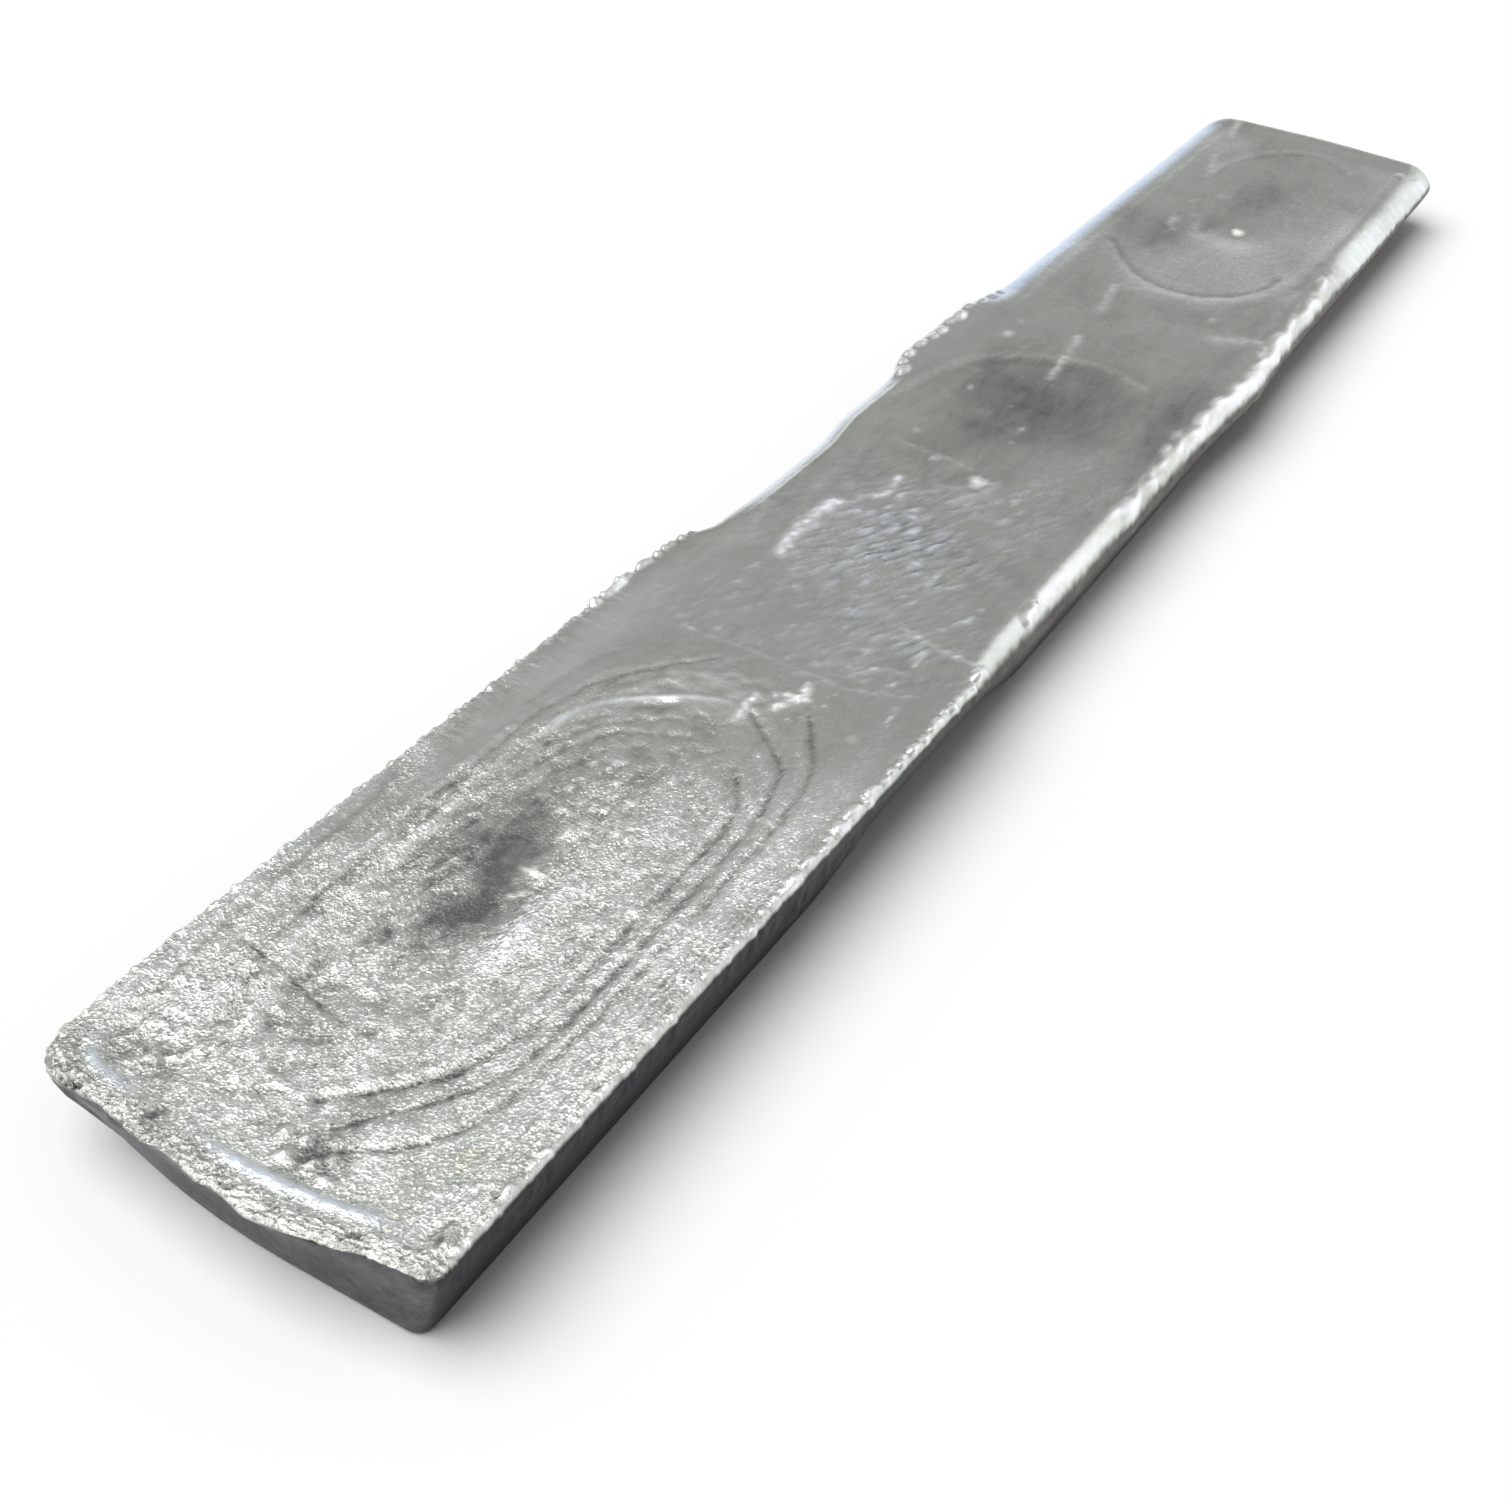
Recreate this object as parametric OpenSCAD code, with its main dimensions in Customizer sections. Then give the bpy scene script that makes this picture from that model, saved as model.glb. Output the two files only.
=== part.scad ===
// Cast metal ingot: a long flat bar of soft white metal, poured into an open mould of three hollows.
// Its underside is flat under each hollow and arched at the two thin necks where the bar is broken up.
// The top froze last: each hollow has a sunken oval pool with a stepped freeze line and a shrink pipe.
// X runs along the bar from the near end to the far end, Y to its left side, Z up from the underside.

/* [Bar] */
// Length of the bar at its corners
bar_l = 384; // [350:1:430]
// Width of the bar over its two long rims
bar_w = 58; // [50:0.5:66]
// Height from the underside to the top of the rim
bar_h = 14; // [12:0.25:18]
// How far the lower edge of a long side stands in from the rim, at the near end
near_side_in = 3.2; // [1:0.2:6]
// How far the lower edge of a long side stands in from the rim, at the far end
far_side_in = 8.2; // [3:0.2:10]
// How far the lower edge of an end stands in from the rim
end_in = 2.1; // [0.5:0.1:5]
// Radius of the lower edges
lower_edge_r = 1.2; // [0.5:0.1:3]

/* [Ends] */
// How far the lip of the near end hangs out beyond its corners
near_lip_out = 3.1; // [0:0.1:6]
// Distance from the left side to where that lip hangs out most
near_lip_y = 39; // [18:0.5:42]
// Height of that lip
near_lip_h = 6; // [3:0.25:9]
// Radius of the upper edge of the near end
near_edge_r = 0.5; // [0.2:0.1:3]
// How far the lip of the far end bows out beyond its corners
far_lip_out = 0.8; // [0:0.1:3]
// How much shorter the bar is along its right side
far_right_in = 1.6; // [0:0.1:4]
// Plan radius of the left corner at the near end
near_left_r = 6.5; // [3:0.5:12]
// How much further the lower edge of the near end stands in at its left corner
near_left_in = 3.8; // [0:0.1:8]
// Distance from the left side over which it does so
near_left_w = 34; // [10:0.5:48]
// Plan radius of the right corner at the near end
near_right_r = 2.5; // [1:0.5:12]
// Plan radius of the two corners at the far end, at the rim
far_corner_r = 4.5; // [2:0.5:12]
// Plan radius of the two corners at the far end, at the underside
far_low_r = 13; // [4:0.5:16]

/* [Rim] */
// Radius of the rim's outer edge at the far end, along the near hollow and along the left of the middle one
rim_r = 1.5; // [0.6:0.1:3]
// Radius of the rolled right rim along the middle hollow
right_rim_r = 4.5; // [0.6:0.1:5]
// Radius of the two rolled rims along the far hollow
far_rim_r = 4.5; // [0.6:0.1:5]
// Width of the raised rim around the top
rim_band = 5; // [2:0.25:8]
// Drop from the rim to the field inside it
field_drop = 0.7; // [0:0.05:2]
// How far the left rim stands out beside the near hollow
left_shelf_out = 1; // [0:0.1:3]
// Distance from the near end to the step where that shelf stops
left_shelf_end = 143; // [110:1:160]
// Depth of the waist in the left rim that follows
left_waist_in = 2.3; // [0:0.1:5]
// Distance from the near end to where that waist stops
left_waist_end = 188; // [170:1:200]
// How far the left rim stands in from there to the far end
left_far_in = 0.7; // [0:0.1:3]
// How far the overrun on the left rim stands out beside the second neck
left_overrun_out = 2.5; // [0:0.1:4]
// Distance from the near end to the step where that overrun starts
left_overrun_x = 216; // [205:1:240]
// How much further out the left rim stands where it is rolled, along the far hollow
left_roll_out = 1.5; // [0:0.1:3]
// How far the right rim stands out beside the second neck
right_overrun_out = 1.3; // [0:0.1:4]
// How far the right rim stands in at the far end
right_far_in = 0.2; // [0:0.1:3]

/* [Necks] */
// Distance from the near end to the middle of the first neck
neck_1_x = 121; // [100:1:140]
// Distance from the near end to the middle of the second neck
neck_2_x = 254; // [240:1:280]
// Length of the arch under a neck
neck_l = 70; // [50:1:90]
// Length of the level crown of that arch
neck_crown_l = 28; // [4:1:40]
// Height of the arch under the first neck
neck_1_rise = 6; // [2:0.25:7]
// Height of the arch under the second neck
neck_2_rise = 4; // [2:0.25:7]

/* [Pools] */
// Distance from the near end to the middle of the level flat behind the near pool
flat_1_x = 129; // [115:1:145]
// Distance from the near end to the middle of the level flat behind the middle pool
flat_2_x = 258; // [245:1:275]
// Length of a level flat between two pools
flat_l = 33; // [16:1:44]
// Clear distance from an end of the bar to the edge of its pool
pool_end_gap = 9; // [6:0.5:16]
// Clear distance from a long rim to the edge of a pool
pool_side_gap = 8.25; // [6:0.25:14]
// Height of the freeze step at the edge of the near pool
near_pool_step = 0.5; // [0:0.05:1]
// Height of the freeze step at the edge of the middle pool
middle_pool_step = 0.1; // [0:0.05:1]
// Height of the freeze step at the edge of the far pool
far_pool_step = 0.25; // [0:0.05:1]
// Further fall from the freeze step to the middle of a pool
pool_fall = 1.1; // [0:0.05:2]
// Depth of the shrink pipe below the middle of a pool
pipe_depth = 0.8; // [0:0.05:2]
// Radius of the shrink pipe
pipe_r = 7; // [3:0.5:12]
// How far the shrink pipe lies towards the near end from the middle of its pool
pipe_shift = 6; // [0:0.5:12]

/* [Hidden] */

// Largest spacing of the sections along the bar, and of the points across its top and its underside
section_pitch = 3.7;
across_pitch = 2.3;
under_pitch = 15;
// Steps of a quarter round at the ends, at the rims and at the lower edges
end_steps = 6;
rim_steps = 4;
lower_steps = 2;
// Points on a wall between its rounded edges
wall_points = 3;
// Distance over which a step in a rim runs out, and over which an overrun tapers off
rim_step_l = 5;
overrun_l = 24;
overrun_taper_l = 28;
// Distance over which the waist runs out, and half length of the right overrun
waist_taper_l = 14;
right_overrun_half_l = 16;
// Roundness of a pool's outline, where 2 is an ellipse, and the share of it that its step takes up
pool_power = 2.6;
pool_step_share = 0.16;
// Shares of the rim band where the fall to the field starts and stops
band_fall_from = 0.5;
band_fall_to = 1.7;
// Shares of the width between which the radius of the left rim passes into that of the right one
roll_blend_from = 0.3;
roll_blend_to = 0.7;
// Sharpness of the bow of an end, and of the lean that grows towards the near left corner
bow_power = 2;
// Share of the width at which the far lip bows out most
far_lip_share = 0.5;
// How late along the bar the lean of the long sides grows
side_in_power = 3;
// Colour of the dull cast face
metal_color = [0.60, 0.61, 0.60];

flat_1 = [flat_1_x - flat_l / 2, flat_1_x + flat_l / 2];
flat_2 = [flat_2_x - flat_l / 2, flat_2_x + flat_l / 2];
// Each pool: where it starts, where it stops and the height of its step
pools = [
    [pool_end_gap, flat_1[0], near_pool_step],
    [flat_1[1], flat_2[0], middle_pool_step],
    [flat_2[1], bar_l - pool_end_gap, far_pool_step]
];
pool_half_w = bar_w / 2 - pool_side_gap;

// A smooth ramp from 0 at a to 1 at b, and a smooth hump of height 1 around c
function ramp(a, b, x) =
    let (t = min(1, max(0, (x - a) / (b - a))))
    t * t * (3 - 2 * t);
function hump(c, half, x) = exp(-pow((x - c) / half, 2));

// Drop of a rounded edge of radius r at a distance d in from it
function edge_drop(r, d) = d >= r ? 0 : r - sqrt(r * r - pow(r - max(0, d), 2));

// Distances that divide a length: quarter-round steps over each end stretch and even steps between
function spread(length, stretch, steps, pitch) =
    let (
        near = [for (k = [0:steps]) stretch * (1 - cos(90 * k / steps))],
        count = ceil((length - 2 * stretch) / pitch),
        even = [for (k = [1:count - 1]) stretch + (length - 2 * stretch) * k / count]
    )
    concat(near, even, [for (k = [steps:-1:0]) length - near[k]]);

// How far the left and the right rim stand out from a straight bar at a distance x from the near end
function left_out(x) =
    let (
        past_shelf = ramp(left_shelf_end - rim_step_l / 2, left_shelf_end + rim_step_l / 2, x),
        past_waist = ramp(left_waist_end - waist_taper_l / 2, left_waist_end + waist_taper_l / 2, x),
        overrun_stop = left_overrun_x + overrun_l
    )
    left_shelf_out * ramp(0, overrun_l, x) * (1 - past_shelf)
    - left_waist_in * past_shelf * (1 - past_waist)
    - left_far_in * past_waist
    + left_roll_out * ramp(neck_2_x, flat_2[1], x)
    + left_overrun_out * ramp(left_overrun_x - rim_step_l / 2, left_overrun_x + rim_step_l / 2, x)
    * (1 - ramp(overrun_stop, overrun_stop + overrun_taper_l, x));
function right_out(x) =
    right_overrun_out * hump(neck_2_x, right_overrun_half_l, x)
    - right_far_in * ramp(flat_2[1], bar_l, x);

// The two rims as seen from above, with rounded corners: Y of the left and of the right rim
function left_y(x, far_r) =
    bar_w / 2 + left_out(x) - edge_drop(near_left_r, x) - edge_drop(far_r, bar_l - x);
function right_y(x, far_r) =
    -bar_w / 2 - right_out(x) + edge_drop(near_right_r, x) + edge_drop(far_r, bar_l - x);

// Bow of an end at a share t of the width, with its peak at a share p
function bow(t, p) = pow(sin(90 * (t < p ? t / p : (1 - t) / (1 - p))), bow_power);

// X of a point at a distance s along the bar, a share t across it and a height z
function point_x(s, t, z) =
    let (
        low = (bar_h - z) / bar_h,
        lip = ramp(bar_h - near_lip_h, bar_h, z),
        left_lean = near_left_in * pow(max(0, 1 - t * bar_w / near_left_w), bow_power),
        near_x = (end_in + left_lean) * low - near_lip_out * lip * bow(t, near_lip_y / bar_w),
        far_x = bar_l - far_right_in * t - end_in * low + far_lip_out * lip * bow(t, far_lip_share)
    )
    near_x + (far_x - near_x) * s / bar_l;

// Height of the underside, with its two arches
function arch(c, x) = 1 - ramp(neck_crown_l / 2, neck_l / 2, abs(x - c));
function under_z(x) = neck_1_rise * arch(neck_1_x, x) + neck_2_rise * arch(neck_2_x, x);

// How far a long side stands in from its rim at a height z
function side_in(x, z) =
    (near_side_in + (far_side_in - near_side_in) * pow(x / bar_l, side_in_power)) * (bar_h - z) / bar_h;

// Radius of the rim's outer edge at a share t of the width: the right rim starts to roll over at the first
// neck, and both rims do so from the second neck on
function rim_radius(x, t) =
    let (
        right = ramp(roll_blend_from, roll_blend_to, t) * ramp(neck_1_x, flat_1[1], x),
        before = rim_r + (right_rim_r - rim_r) * right
    )
    before + (far_rim_r - before) * ramp(neck_2_x, flat_2[1], x);

// How far the rolled right rim draws in, so that it still runs out on the slope of its wall
function roll_in(x) = side_in(x, bar_h - rim_radius(x, 1) + rim_r);

// Sink of one pool: a stepped edge, a shallow bowl and a pipe
function pool_sink(pool, x, y) =
    let (
        half = (pool[1] - pool[0]) / 2,
        mid = (pool[0] + pool[1]) / 2,
        along = pow(abs(x - mid) / half, pool_power),
        across = pow(abs(y) / pool_half_w, pool_power),
        out = pow(along + across, 1 / pool_power),
        from_pipe = norm([x - mid + pipe_shift, y])
    )
    out >= 1 ? 0 :
    pool[2] * (1 - ramp(1 - pool_step_share, 1, out))
    + pool_fall * (1 - out * out)
    + pipe_depth * hump(0, pipe_r, from_pipe) * (1 - out);

// Height of the top at a share t of the width, at a point that lies in from the sides and from the ends
function top_z(x, y, t, from_side, from_end) =
    let (
        sinks = [for (pool = pools) pool_sink(pool, x, y)],
        from_edge = min(from_side, from_end),
        end_r = x < bar_l / 2 ? near_edge_r : rim_r
    )
    bar_h - max(edge_drop(rim_radius(x, t), from_side), edge_drop(end_r, from_end))
    - field_drop * ramp(rim_band * band_fall_from, rim_band * band_fall_to, from_edge)
    - sinks[0] - sinks[1] - sinks[2];

// Places of the sections along the bar, and of the points across the top and the underside
corner_reach = max(near_left_r, near_right_r, far_corner_r);
sections = spread(bar_l, corner_reach, end_steps, section_pitch);
across_top = spread(bar_w, rim_band, rim_steps, across_pitch);
across_under = spread(bar_w, lower_edge_r, lower_steps, under_pitch);

// Number of points across the top, across the underside and around a whole section
n_top = len(across_top);
n_under = len(across_under);
n_ring = n_top + n_under + 2 * wall_points;

// One row of points across the top, from the left rim to the right rim
function top_row(s) =
    let (
        left = left_y(s, far_corner_r),
        right = right_y(s, far_corner_r) + roll_in(s)
    )
    [for (a = across_top) let (
        t = a / bar_w,
        x = point_x(s, t, bar_h),
        y = left + (right - left) * t
    ) [x, y, top_z(x, y, t, min(a, bar_w - a), min(s, bar_l - s))]];

// One row of points across the underside, from the right side to the left side
function under_row(s) =
    let (
        base = under_z(s),
        in = side_in(s, base),
        left = left_y(s, far_low_r) - in,
        right = right_y(s, far_low_r) + in
    )
    [for (k = [len(across_under) - 1:-1:0]) let (
        a = across_under[k],
        t = a / bar_w,
        z = base + edge_drop(lower_edge_r, min(a, bar_w - a, s, bar_l - s))
    ) [point_x(s, t, z), left + (right - left) * t, z]];

// Points down a wall between two of its edge points
function wall(from, to) = [for (k = [1:wall_points]) from + (to - from) * k / (wall_points + 1)];

// A closed section: top, right wall, underside, left wall
function section(s) =
    let (
        top = top_row(s),
        under = under_row(s),
        right = wall(top[len(top) - 1], under[0]),
        left = wall(under[len(under) - 1], top[0])
    )
    concat(top, right, under, left);

// Two triangles for each stretch between neighbouring sections of n points
function skin(count, n) =
    [for (i = [0:count - 2], j = [0:n - 1]) let (
        a = i * n + j,
        b = i * n + (j + 1) % n
    ) each [[a, b + n, b], [a, a + n, b + n]]];

// Inner points of an end face, in rows at the heights of the wall points of its section
function end_points(ring, s) =
    [for (k = [1:wall_points], i = [1:n_top - 2]) let (
        left = ring[n_ring - k],
        right = ring[n_top + k - 1],
        t = across_top[i] / bar_w,
        z = left.z + (right.z - left.z) * t
    ) [point_x(s, t, z), left.y + (right.y - left.y) * t, z]];

// Index of the point at place i of row k of an end face, for a section and inner points that start there
function end_index(k, i, ring_start, inner_start) =
    k == 0 ? ring_start + i :
    i == 0 ? ring_start + n_ring - k :
    i == n_top - 1 ? ring_start + n_top + k - 1 :
    inner_start + (k - 1) * (n_top - 2) + i - 1;

// Triangles between a row of points and a run of points below it, both from left to right
function stitch(points, row, run) =
    let (
        mids = [for (j = [0:len(run) - 2]) (points[run[j]].y + points[run[j + 1]].y) / 2],
        passed = [for (i = [0:len(row) - 2])
            let (y = (points[row[i]].y + points[row[i + 1]].y) / 2)
            len([for (m = mids) if (m > y) m])]
    )
    concat(
        [for (i = [0:len(row) - 2]) [row[i], run[passed[i]], row[i + 1]]],
        [for (j = [0:len(run) - 2]) [row[len([for (p = passed) if (p <= j) p])], run[j], run[j + 1]]]
    );

// All triangles of an end face
function end_face(points, ring_start, inner_start) =
    let (
        rows = [for (k = [0:wall_points])
            [for (i = [0:n_top - 1]) end_index(k, i, ring_start, inner_start)]],
        run = [for (k = [n_under - 1:-1:0]) ring_start + n_top + wall_points + k]
    )
    concat(
        [for (k = [0:wall_points - 1], i = [0:n_top - 2]) each [
            [rows[k][i], rows[k + 1][i], rows[k + 1][i + 1]],
            [rows[k][i], rows[k + 1][i + 1], rows[k][i + 1]]
        ]],
        stitch(points, rows[wall_points], run)
    );

// The cast bar, lofted through its sections and closed at both ends
module ingot() {
    last = len(sections) - 1;
    rings = [for (s = sections) section(s)];
    near_inner = end_points(rings[0], sections[0]);
    far_inner = end_points(rings[last], sections[last]);
    inner_start = len(rings) * n_ring;
    points = concat([for (ring = rings) each ring], near_inner, far_inner);
    near_face = end_face(points, 0, inner_start);
    far_face = end_face(points, last * n_ring, inner_start + len(near_inner));
    mid_x = (min([for (p = points) p.x]) + max([for (p = points) p.x])) / 2;
    mid_y = (min([for (p = points) p.y]) + max([for (p = points) p.y])) / 2;
    near_turned = [for (f = near_face) [f[0], f[2], f[1]]];
    color(metal_color)
        translate([-mid_x, -mid_y, 0])
            polyhedron(points, concat(skin(len(rings), n_ring), near_turned, far_face));
}

ingot();
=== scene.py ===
import math

import bpy
import numpy as np
from mathutils import Matrix, Vector, noise


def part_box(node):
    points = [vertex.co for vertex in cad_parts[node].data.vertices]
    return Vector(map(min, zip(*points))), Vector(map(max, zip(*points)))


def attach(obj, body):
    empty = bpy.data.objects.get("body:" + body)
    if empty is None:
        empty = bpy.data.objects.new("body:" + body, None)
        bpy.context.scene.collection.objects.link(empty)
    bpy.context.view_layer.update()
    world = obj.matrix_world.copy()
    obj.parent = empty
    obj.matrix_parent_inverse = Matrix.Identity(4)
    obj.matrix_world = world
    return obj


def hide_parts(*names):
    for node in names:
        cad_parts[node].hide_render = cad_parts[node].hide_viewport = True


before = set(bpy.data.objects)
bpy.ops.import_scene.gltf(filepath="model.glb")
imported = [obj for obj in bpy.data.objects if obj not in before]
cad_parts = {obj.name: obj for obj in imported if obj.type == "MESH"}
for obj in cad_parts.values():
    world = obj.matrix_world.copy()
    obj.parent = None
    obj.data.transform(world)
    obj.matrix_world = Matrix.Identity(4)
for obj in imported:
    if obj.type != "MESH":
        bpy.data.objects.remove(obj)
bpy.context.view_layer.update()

bl_info = {
    "name": "Cast metal ingot",
    "version": (1, 0, 0),
    "blender": (4, 5, 0),
    "location": "View3D > Sidebar > Ingot",
    "description": "Gives a plain cast ingot the relief of its pour, its metal finish and a studio",
    "category": "Object",
}

# The frame's names, and the plan in which the marks of the pour are given
NODE = "ingot"
BODY = "root"
MM = 0.001
LIP_OVERHANG = 3.06
LEFT_OVERRUN = 2.1
NODE_LOW, NODE_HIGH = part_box(NODE)
NEAR_END_X = NODE_LOW.x + LIP_OVERHANG * MM
LEFT_SIDE_Y = NODE_HIGH.y - LEFT_OVERRUN * MM
TOP_Z = NODE_HIGH.z

# In creases, pits and hollows the dark tone is partly painted shade, and on ridges, beads and rims the bright
# tone is partly a painted highlight.
# Places on the open face are millimetres from the near end, then millimetres from the left side.
# Sizes and heights are millimetres too. A tone below zero darkens the metal and one above it brightens it.
# Freeze lines: points, width, height and tone, where a crease has a height and tone below zero
# A crease's dark tone is painted shade, and a raised line's bright tone is partly a painted highlight.
FREEZE_LINES = (
    # near pool, left side and far end
    (((33, 9.4), (45, 8.4), (70, 8.2), (84, 8.3), (92, 9.2), (99, 11), (105, 14.5),
      (110, 18), (115, 22.5)), 0.42, -0.18, -0.6),
    (((33, 8.2), (45, 7.4), (70, 7.3), (84, 7.4)), 0.42, 0.18, 0.4),
    (((36, 11.8), (50, 10.8), (75, 10.5), (86, 11), (91, 12)), 0.5, 0.3, 0.5),
    (((84, 13.2), (90, 15.5), (95, 19), (99, 24)), 0.42, -0.15, -0.5),
    (((80, 14.2), (88, 17), (93, 20.5), (96, 26)), 0.42, -0.1, -0.4),
    (((90, 6), (101, 6.8), (108, 9)), 0.5, -0.08, -0.3),
    # near pool, rounded near end
    (((35, 10.5), (29, 13.5), (22, 15.5), (16.5, 19.5), (14.5, 24), (14.2, 30)), 0.6, 0.28, 0.4),
    (((14.2, 30), (19, 34.5), (25, 39.5), (32, 42.5), (38, 43.6)), 0.5, -0.3, -0.9),
    (((15, 28), (20, 33), (26, 38), (33, 41.2), (40, 42.4)), 0.55, 0.2, 0.3),
    (((12, 35), (17, 38.3), (22, 42), (28, 45.4), (34, 46.6)), 0.42, -0.24, -0.8),
    (((10, 38), (13.5, 43), (19, 46.6), (26, 48.6), (37, 49.4)), 0.42, -0.24, -0.8),
    # near pool, right side and far end
    (((38, 43.6), (60, 43.2), (82, 43), (89, 41), (94, 37.5)), 0.45, -0.21, -0.7),
    (((40, 42.4), (60, 42), (80, 41.8), (87, 40)), 0.5, 0.18, 0.4),
    (((34, 46.6), (60, 46.5), (82, 46.1), (90, 45), (97, 43), (102, 38), (106.5, 32.5)), 0.45, -0.24, -0.8),
    (((36, 45.4), (60, 45.2), (80, 44.9), (89, 43.8), (95, 41.8), (100, 37)), 0.5, 0.15, 0.4),
    (((37, 49.4), (60, 49.4), (82, 49.2), (92, 48.5), (99, 47), (104, 44), (110, 40.5)), 0.42, -0.24, -0.8),
    (((40, 48.2), (60, 48.2), (82, 48), (91, 47.3), (98, 45.6), (103, 42.5)), 0.5, 0.12, 0.3),
    # middle pool
    (((146, 9.5), (152, 6.9), (161, 5), (172, 4.6)), 0.6, 0.05, 0.3),
    (((155, 12.2), (162, 10.4), (172, 9)), 0.6, 0.04, 0.2),
    (((199, 3.2), (208, 5), (217, 6.4), (226, 9), (232, 13), (237, 20), (239.5, 28),
      (239, 34), (235, 42)), 0.9, 0.05, 0.25),
    (((206, 7), (216, 8.4), (225, 11), (231, 15.5), (235, 22), (237, 30)), 1.4, -0.04, -0.2),
    # far pool
    (((300, 7.5), (290, 12), (282.5, 18), (278.5, 25), (278, 30), (280, 37), (284.5, 42.5),
      (291, 47), (300, 48.5)), 1.3, 0.04, 0.1),
    (((297, 9.5), (288.5, 16), (283.5, 22), (281.5, 28), (282.5, 34), (286.5, 40), (293, 44),
      (300, 45)), 0.9, -0.08, -0.6),
    (((345, 12), (356, 13), (366, 17), (372, 23), (374, 29), (372, 35), (366, 40)), 0.8, 0.06, 0.2),
    (((346, 13.6), (356, 14.6), (365, 18.4), (370.5, 24), (372, 29), (370.5, 34),
      (365, 38.5)), 0.7, -0.06, -0.3),
    (((292, 49.6), (300, 50.2), (312, 50.2)), 0.8, -0.06, -0.3),
)

# Scratches, cracks and folds of the skin: points, width, height and tone
SKIN_MARKS = (
    (((29.4, 5.5), (29, 10), (28.2, 15), (27, 20), (26, 25)), 0.35, -0.08, -0.8),
    (((61.5, 25), (61.7, 35), (61.4, 45), (62.2, 56)), 0.35, 0.06, 0.6),
    (((74, 22), (73.6, 29), (74.2, 36)), 0.35, 0.06, 0.6),
    (((53, 45), (54.4, 47), (54, 50)), 0.4, 0.1, 0.8),
    (((57, 26.6), (60.5, 28.6), (62.2, 26.2)), 0.4, 0.12, 0.9),
    (((85, 41), (86, 46), (85.4, 51)), 0.3, 0.06, 0.6),
    (((119, 14), (119.4, 24), (119, 40)), 0.4, 0.04, 0.3),
    (((138, 41), (136.6, 45), (135.4, 50), (134.4, 56)), 0.4, 0.1, 0.7),
    (((140, 44), (141.5, 47.5)), 0.3, 0.05, 0.5),
    (((129.5, 47), (133.5, 46.8)), 0.3, 0.1, 0.9),
    (((114, 50.8), (118.5, 50)), 0.3, 0.1, 0.9),
    (((122, 40.5), (125.5, 42.5), (127.5, 47), (128, 50)), 0.35, 0.08, 0.7),
    (((118.5, 41), (120.5, 46), (122.5, 51)), 0.35, 0.05, 0.4),
    (((104, 31.6), (110, 31.2)), 0.7, 0.22, 0.9),
    (((109.5, 35), (113, 37.5), (116.5, 36.6)), 0.8, 0.22, 0.9),
    (((112, 33.5), (113.2, 38.6)), 0.5, 0.18, 0.9),
    (((191.4, 13), (191.8, 20), (191.4, 27)), 0.5, 0.04, 0.35),
    (((146, 15), (152, 14), (160, 13.6), (166, 14.4)), 1.2, 0.16, 1.2),
    (((171, 18.2), (175, 19.4), (180, 18.6)), 0.7, 0.14, 1),
    (((176, 22), (178.5, 24), (180.5, 26)), 0.6, 0.08, 0.5),
    (((179, 30), (184, 32.5), (189, 33)), 1, 0.1, 0.4),
    (((230, 24.6), (238, 23.8), (248, 22.6)), 0.8, 0.2, 0.7),
    (((261.5, 21.2), (268, 20.2), (275, 19)), 0.8, 0.18, 0.7),
    (((263, 44.5), (265, 49), (267, 55)), 1.8, 0.22, 0.4),
    (((371, 8.6), (376, 7.6), (382, 7.2)), 0.8, 0.14, 0.7),
    (((348.5, 11.6), (353, 10.8), (357, 9.8)), 0.8, 0.1, 0.5),
    (((312.5, 17), (315, 15.4), (318.5, 15.6)), 0.8, 0.1, 0.4),
)

# Smooth ridges behind the near lip and at the far end of the near pool: points, width, height and tone
# Their bright tone and the bluish tint that goes with it are a painted highlight along each ridge.
SMOOTH_RIDGES = (
    (((10, 3.6), (6.4, 4.6), (4.6, 7), (3.6, 11), (3.2, 16)), 0.75, 0.28, 0.9),
    (((2.8, 23), (2.2, 29), (2.2, 35), (3, 42), (4, 47), (5, 51)), 0.85, 0.4, 1),
    (((84, 10.8), (92, 12.3), (98, 15.5), (103, 21), (106, 26), (108, 33)), 0.5, 0.2, 0.6),
    (((22, 1.6), (14, 2.6), (9, 4.4), (6.6, 6.4)), 0.6, 0.22, 0.3),
    (((70, 0.6), (50, 0.9), (30, 1.2), (16, 1.7)), 0.6, 0.14, 0.3),
    (((66, 2), (50, 2.4), (32, 2.9), (18, 4.4), (12, 5.6)), 0.6, -0.12, -0.3),
)

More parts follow.
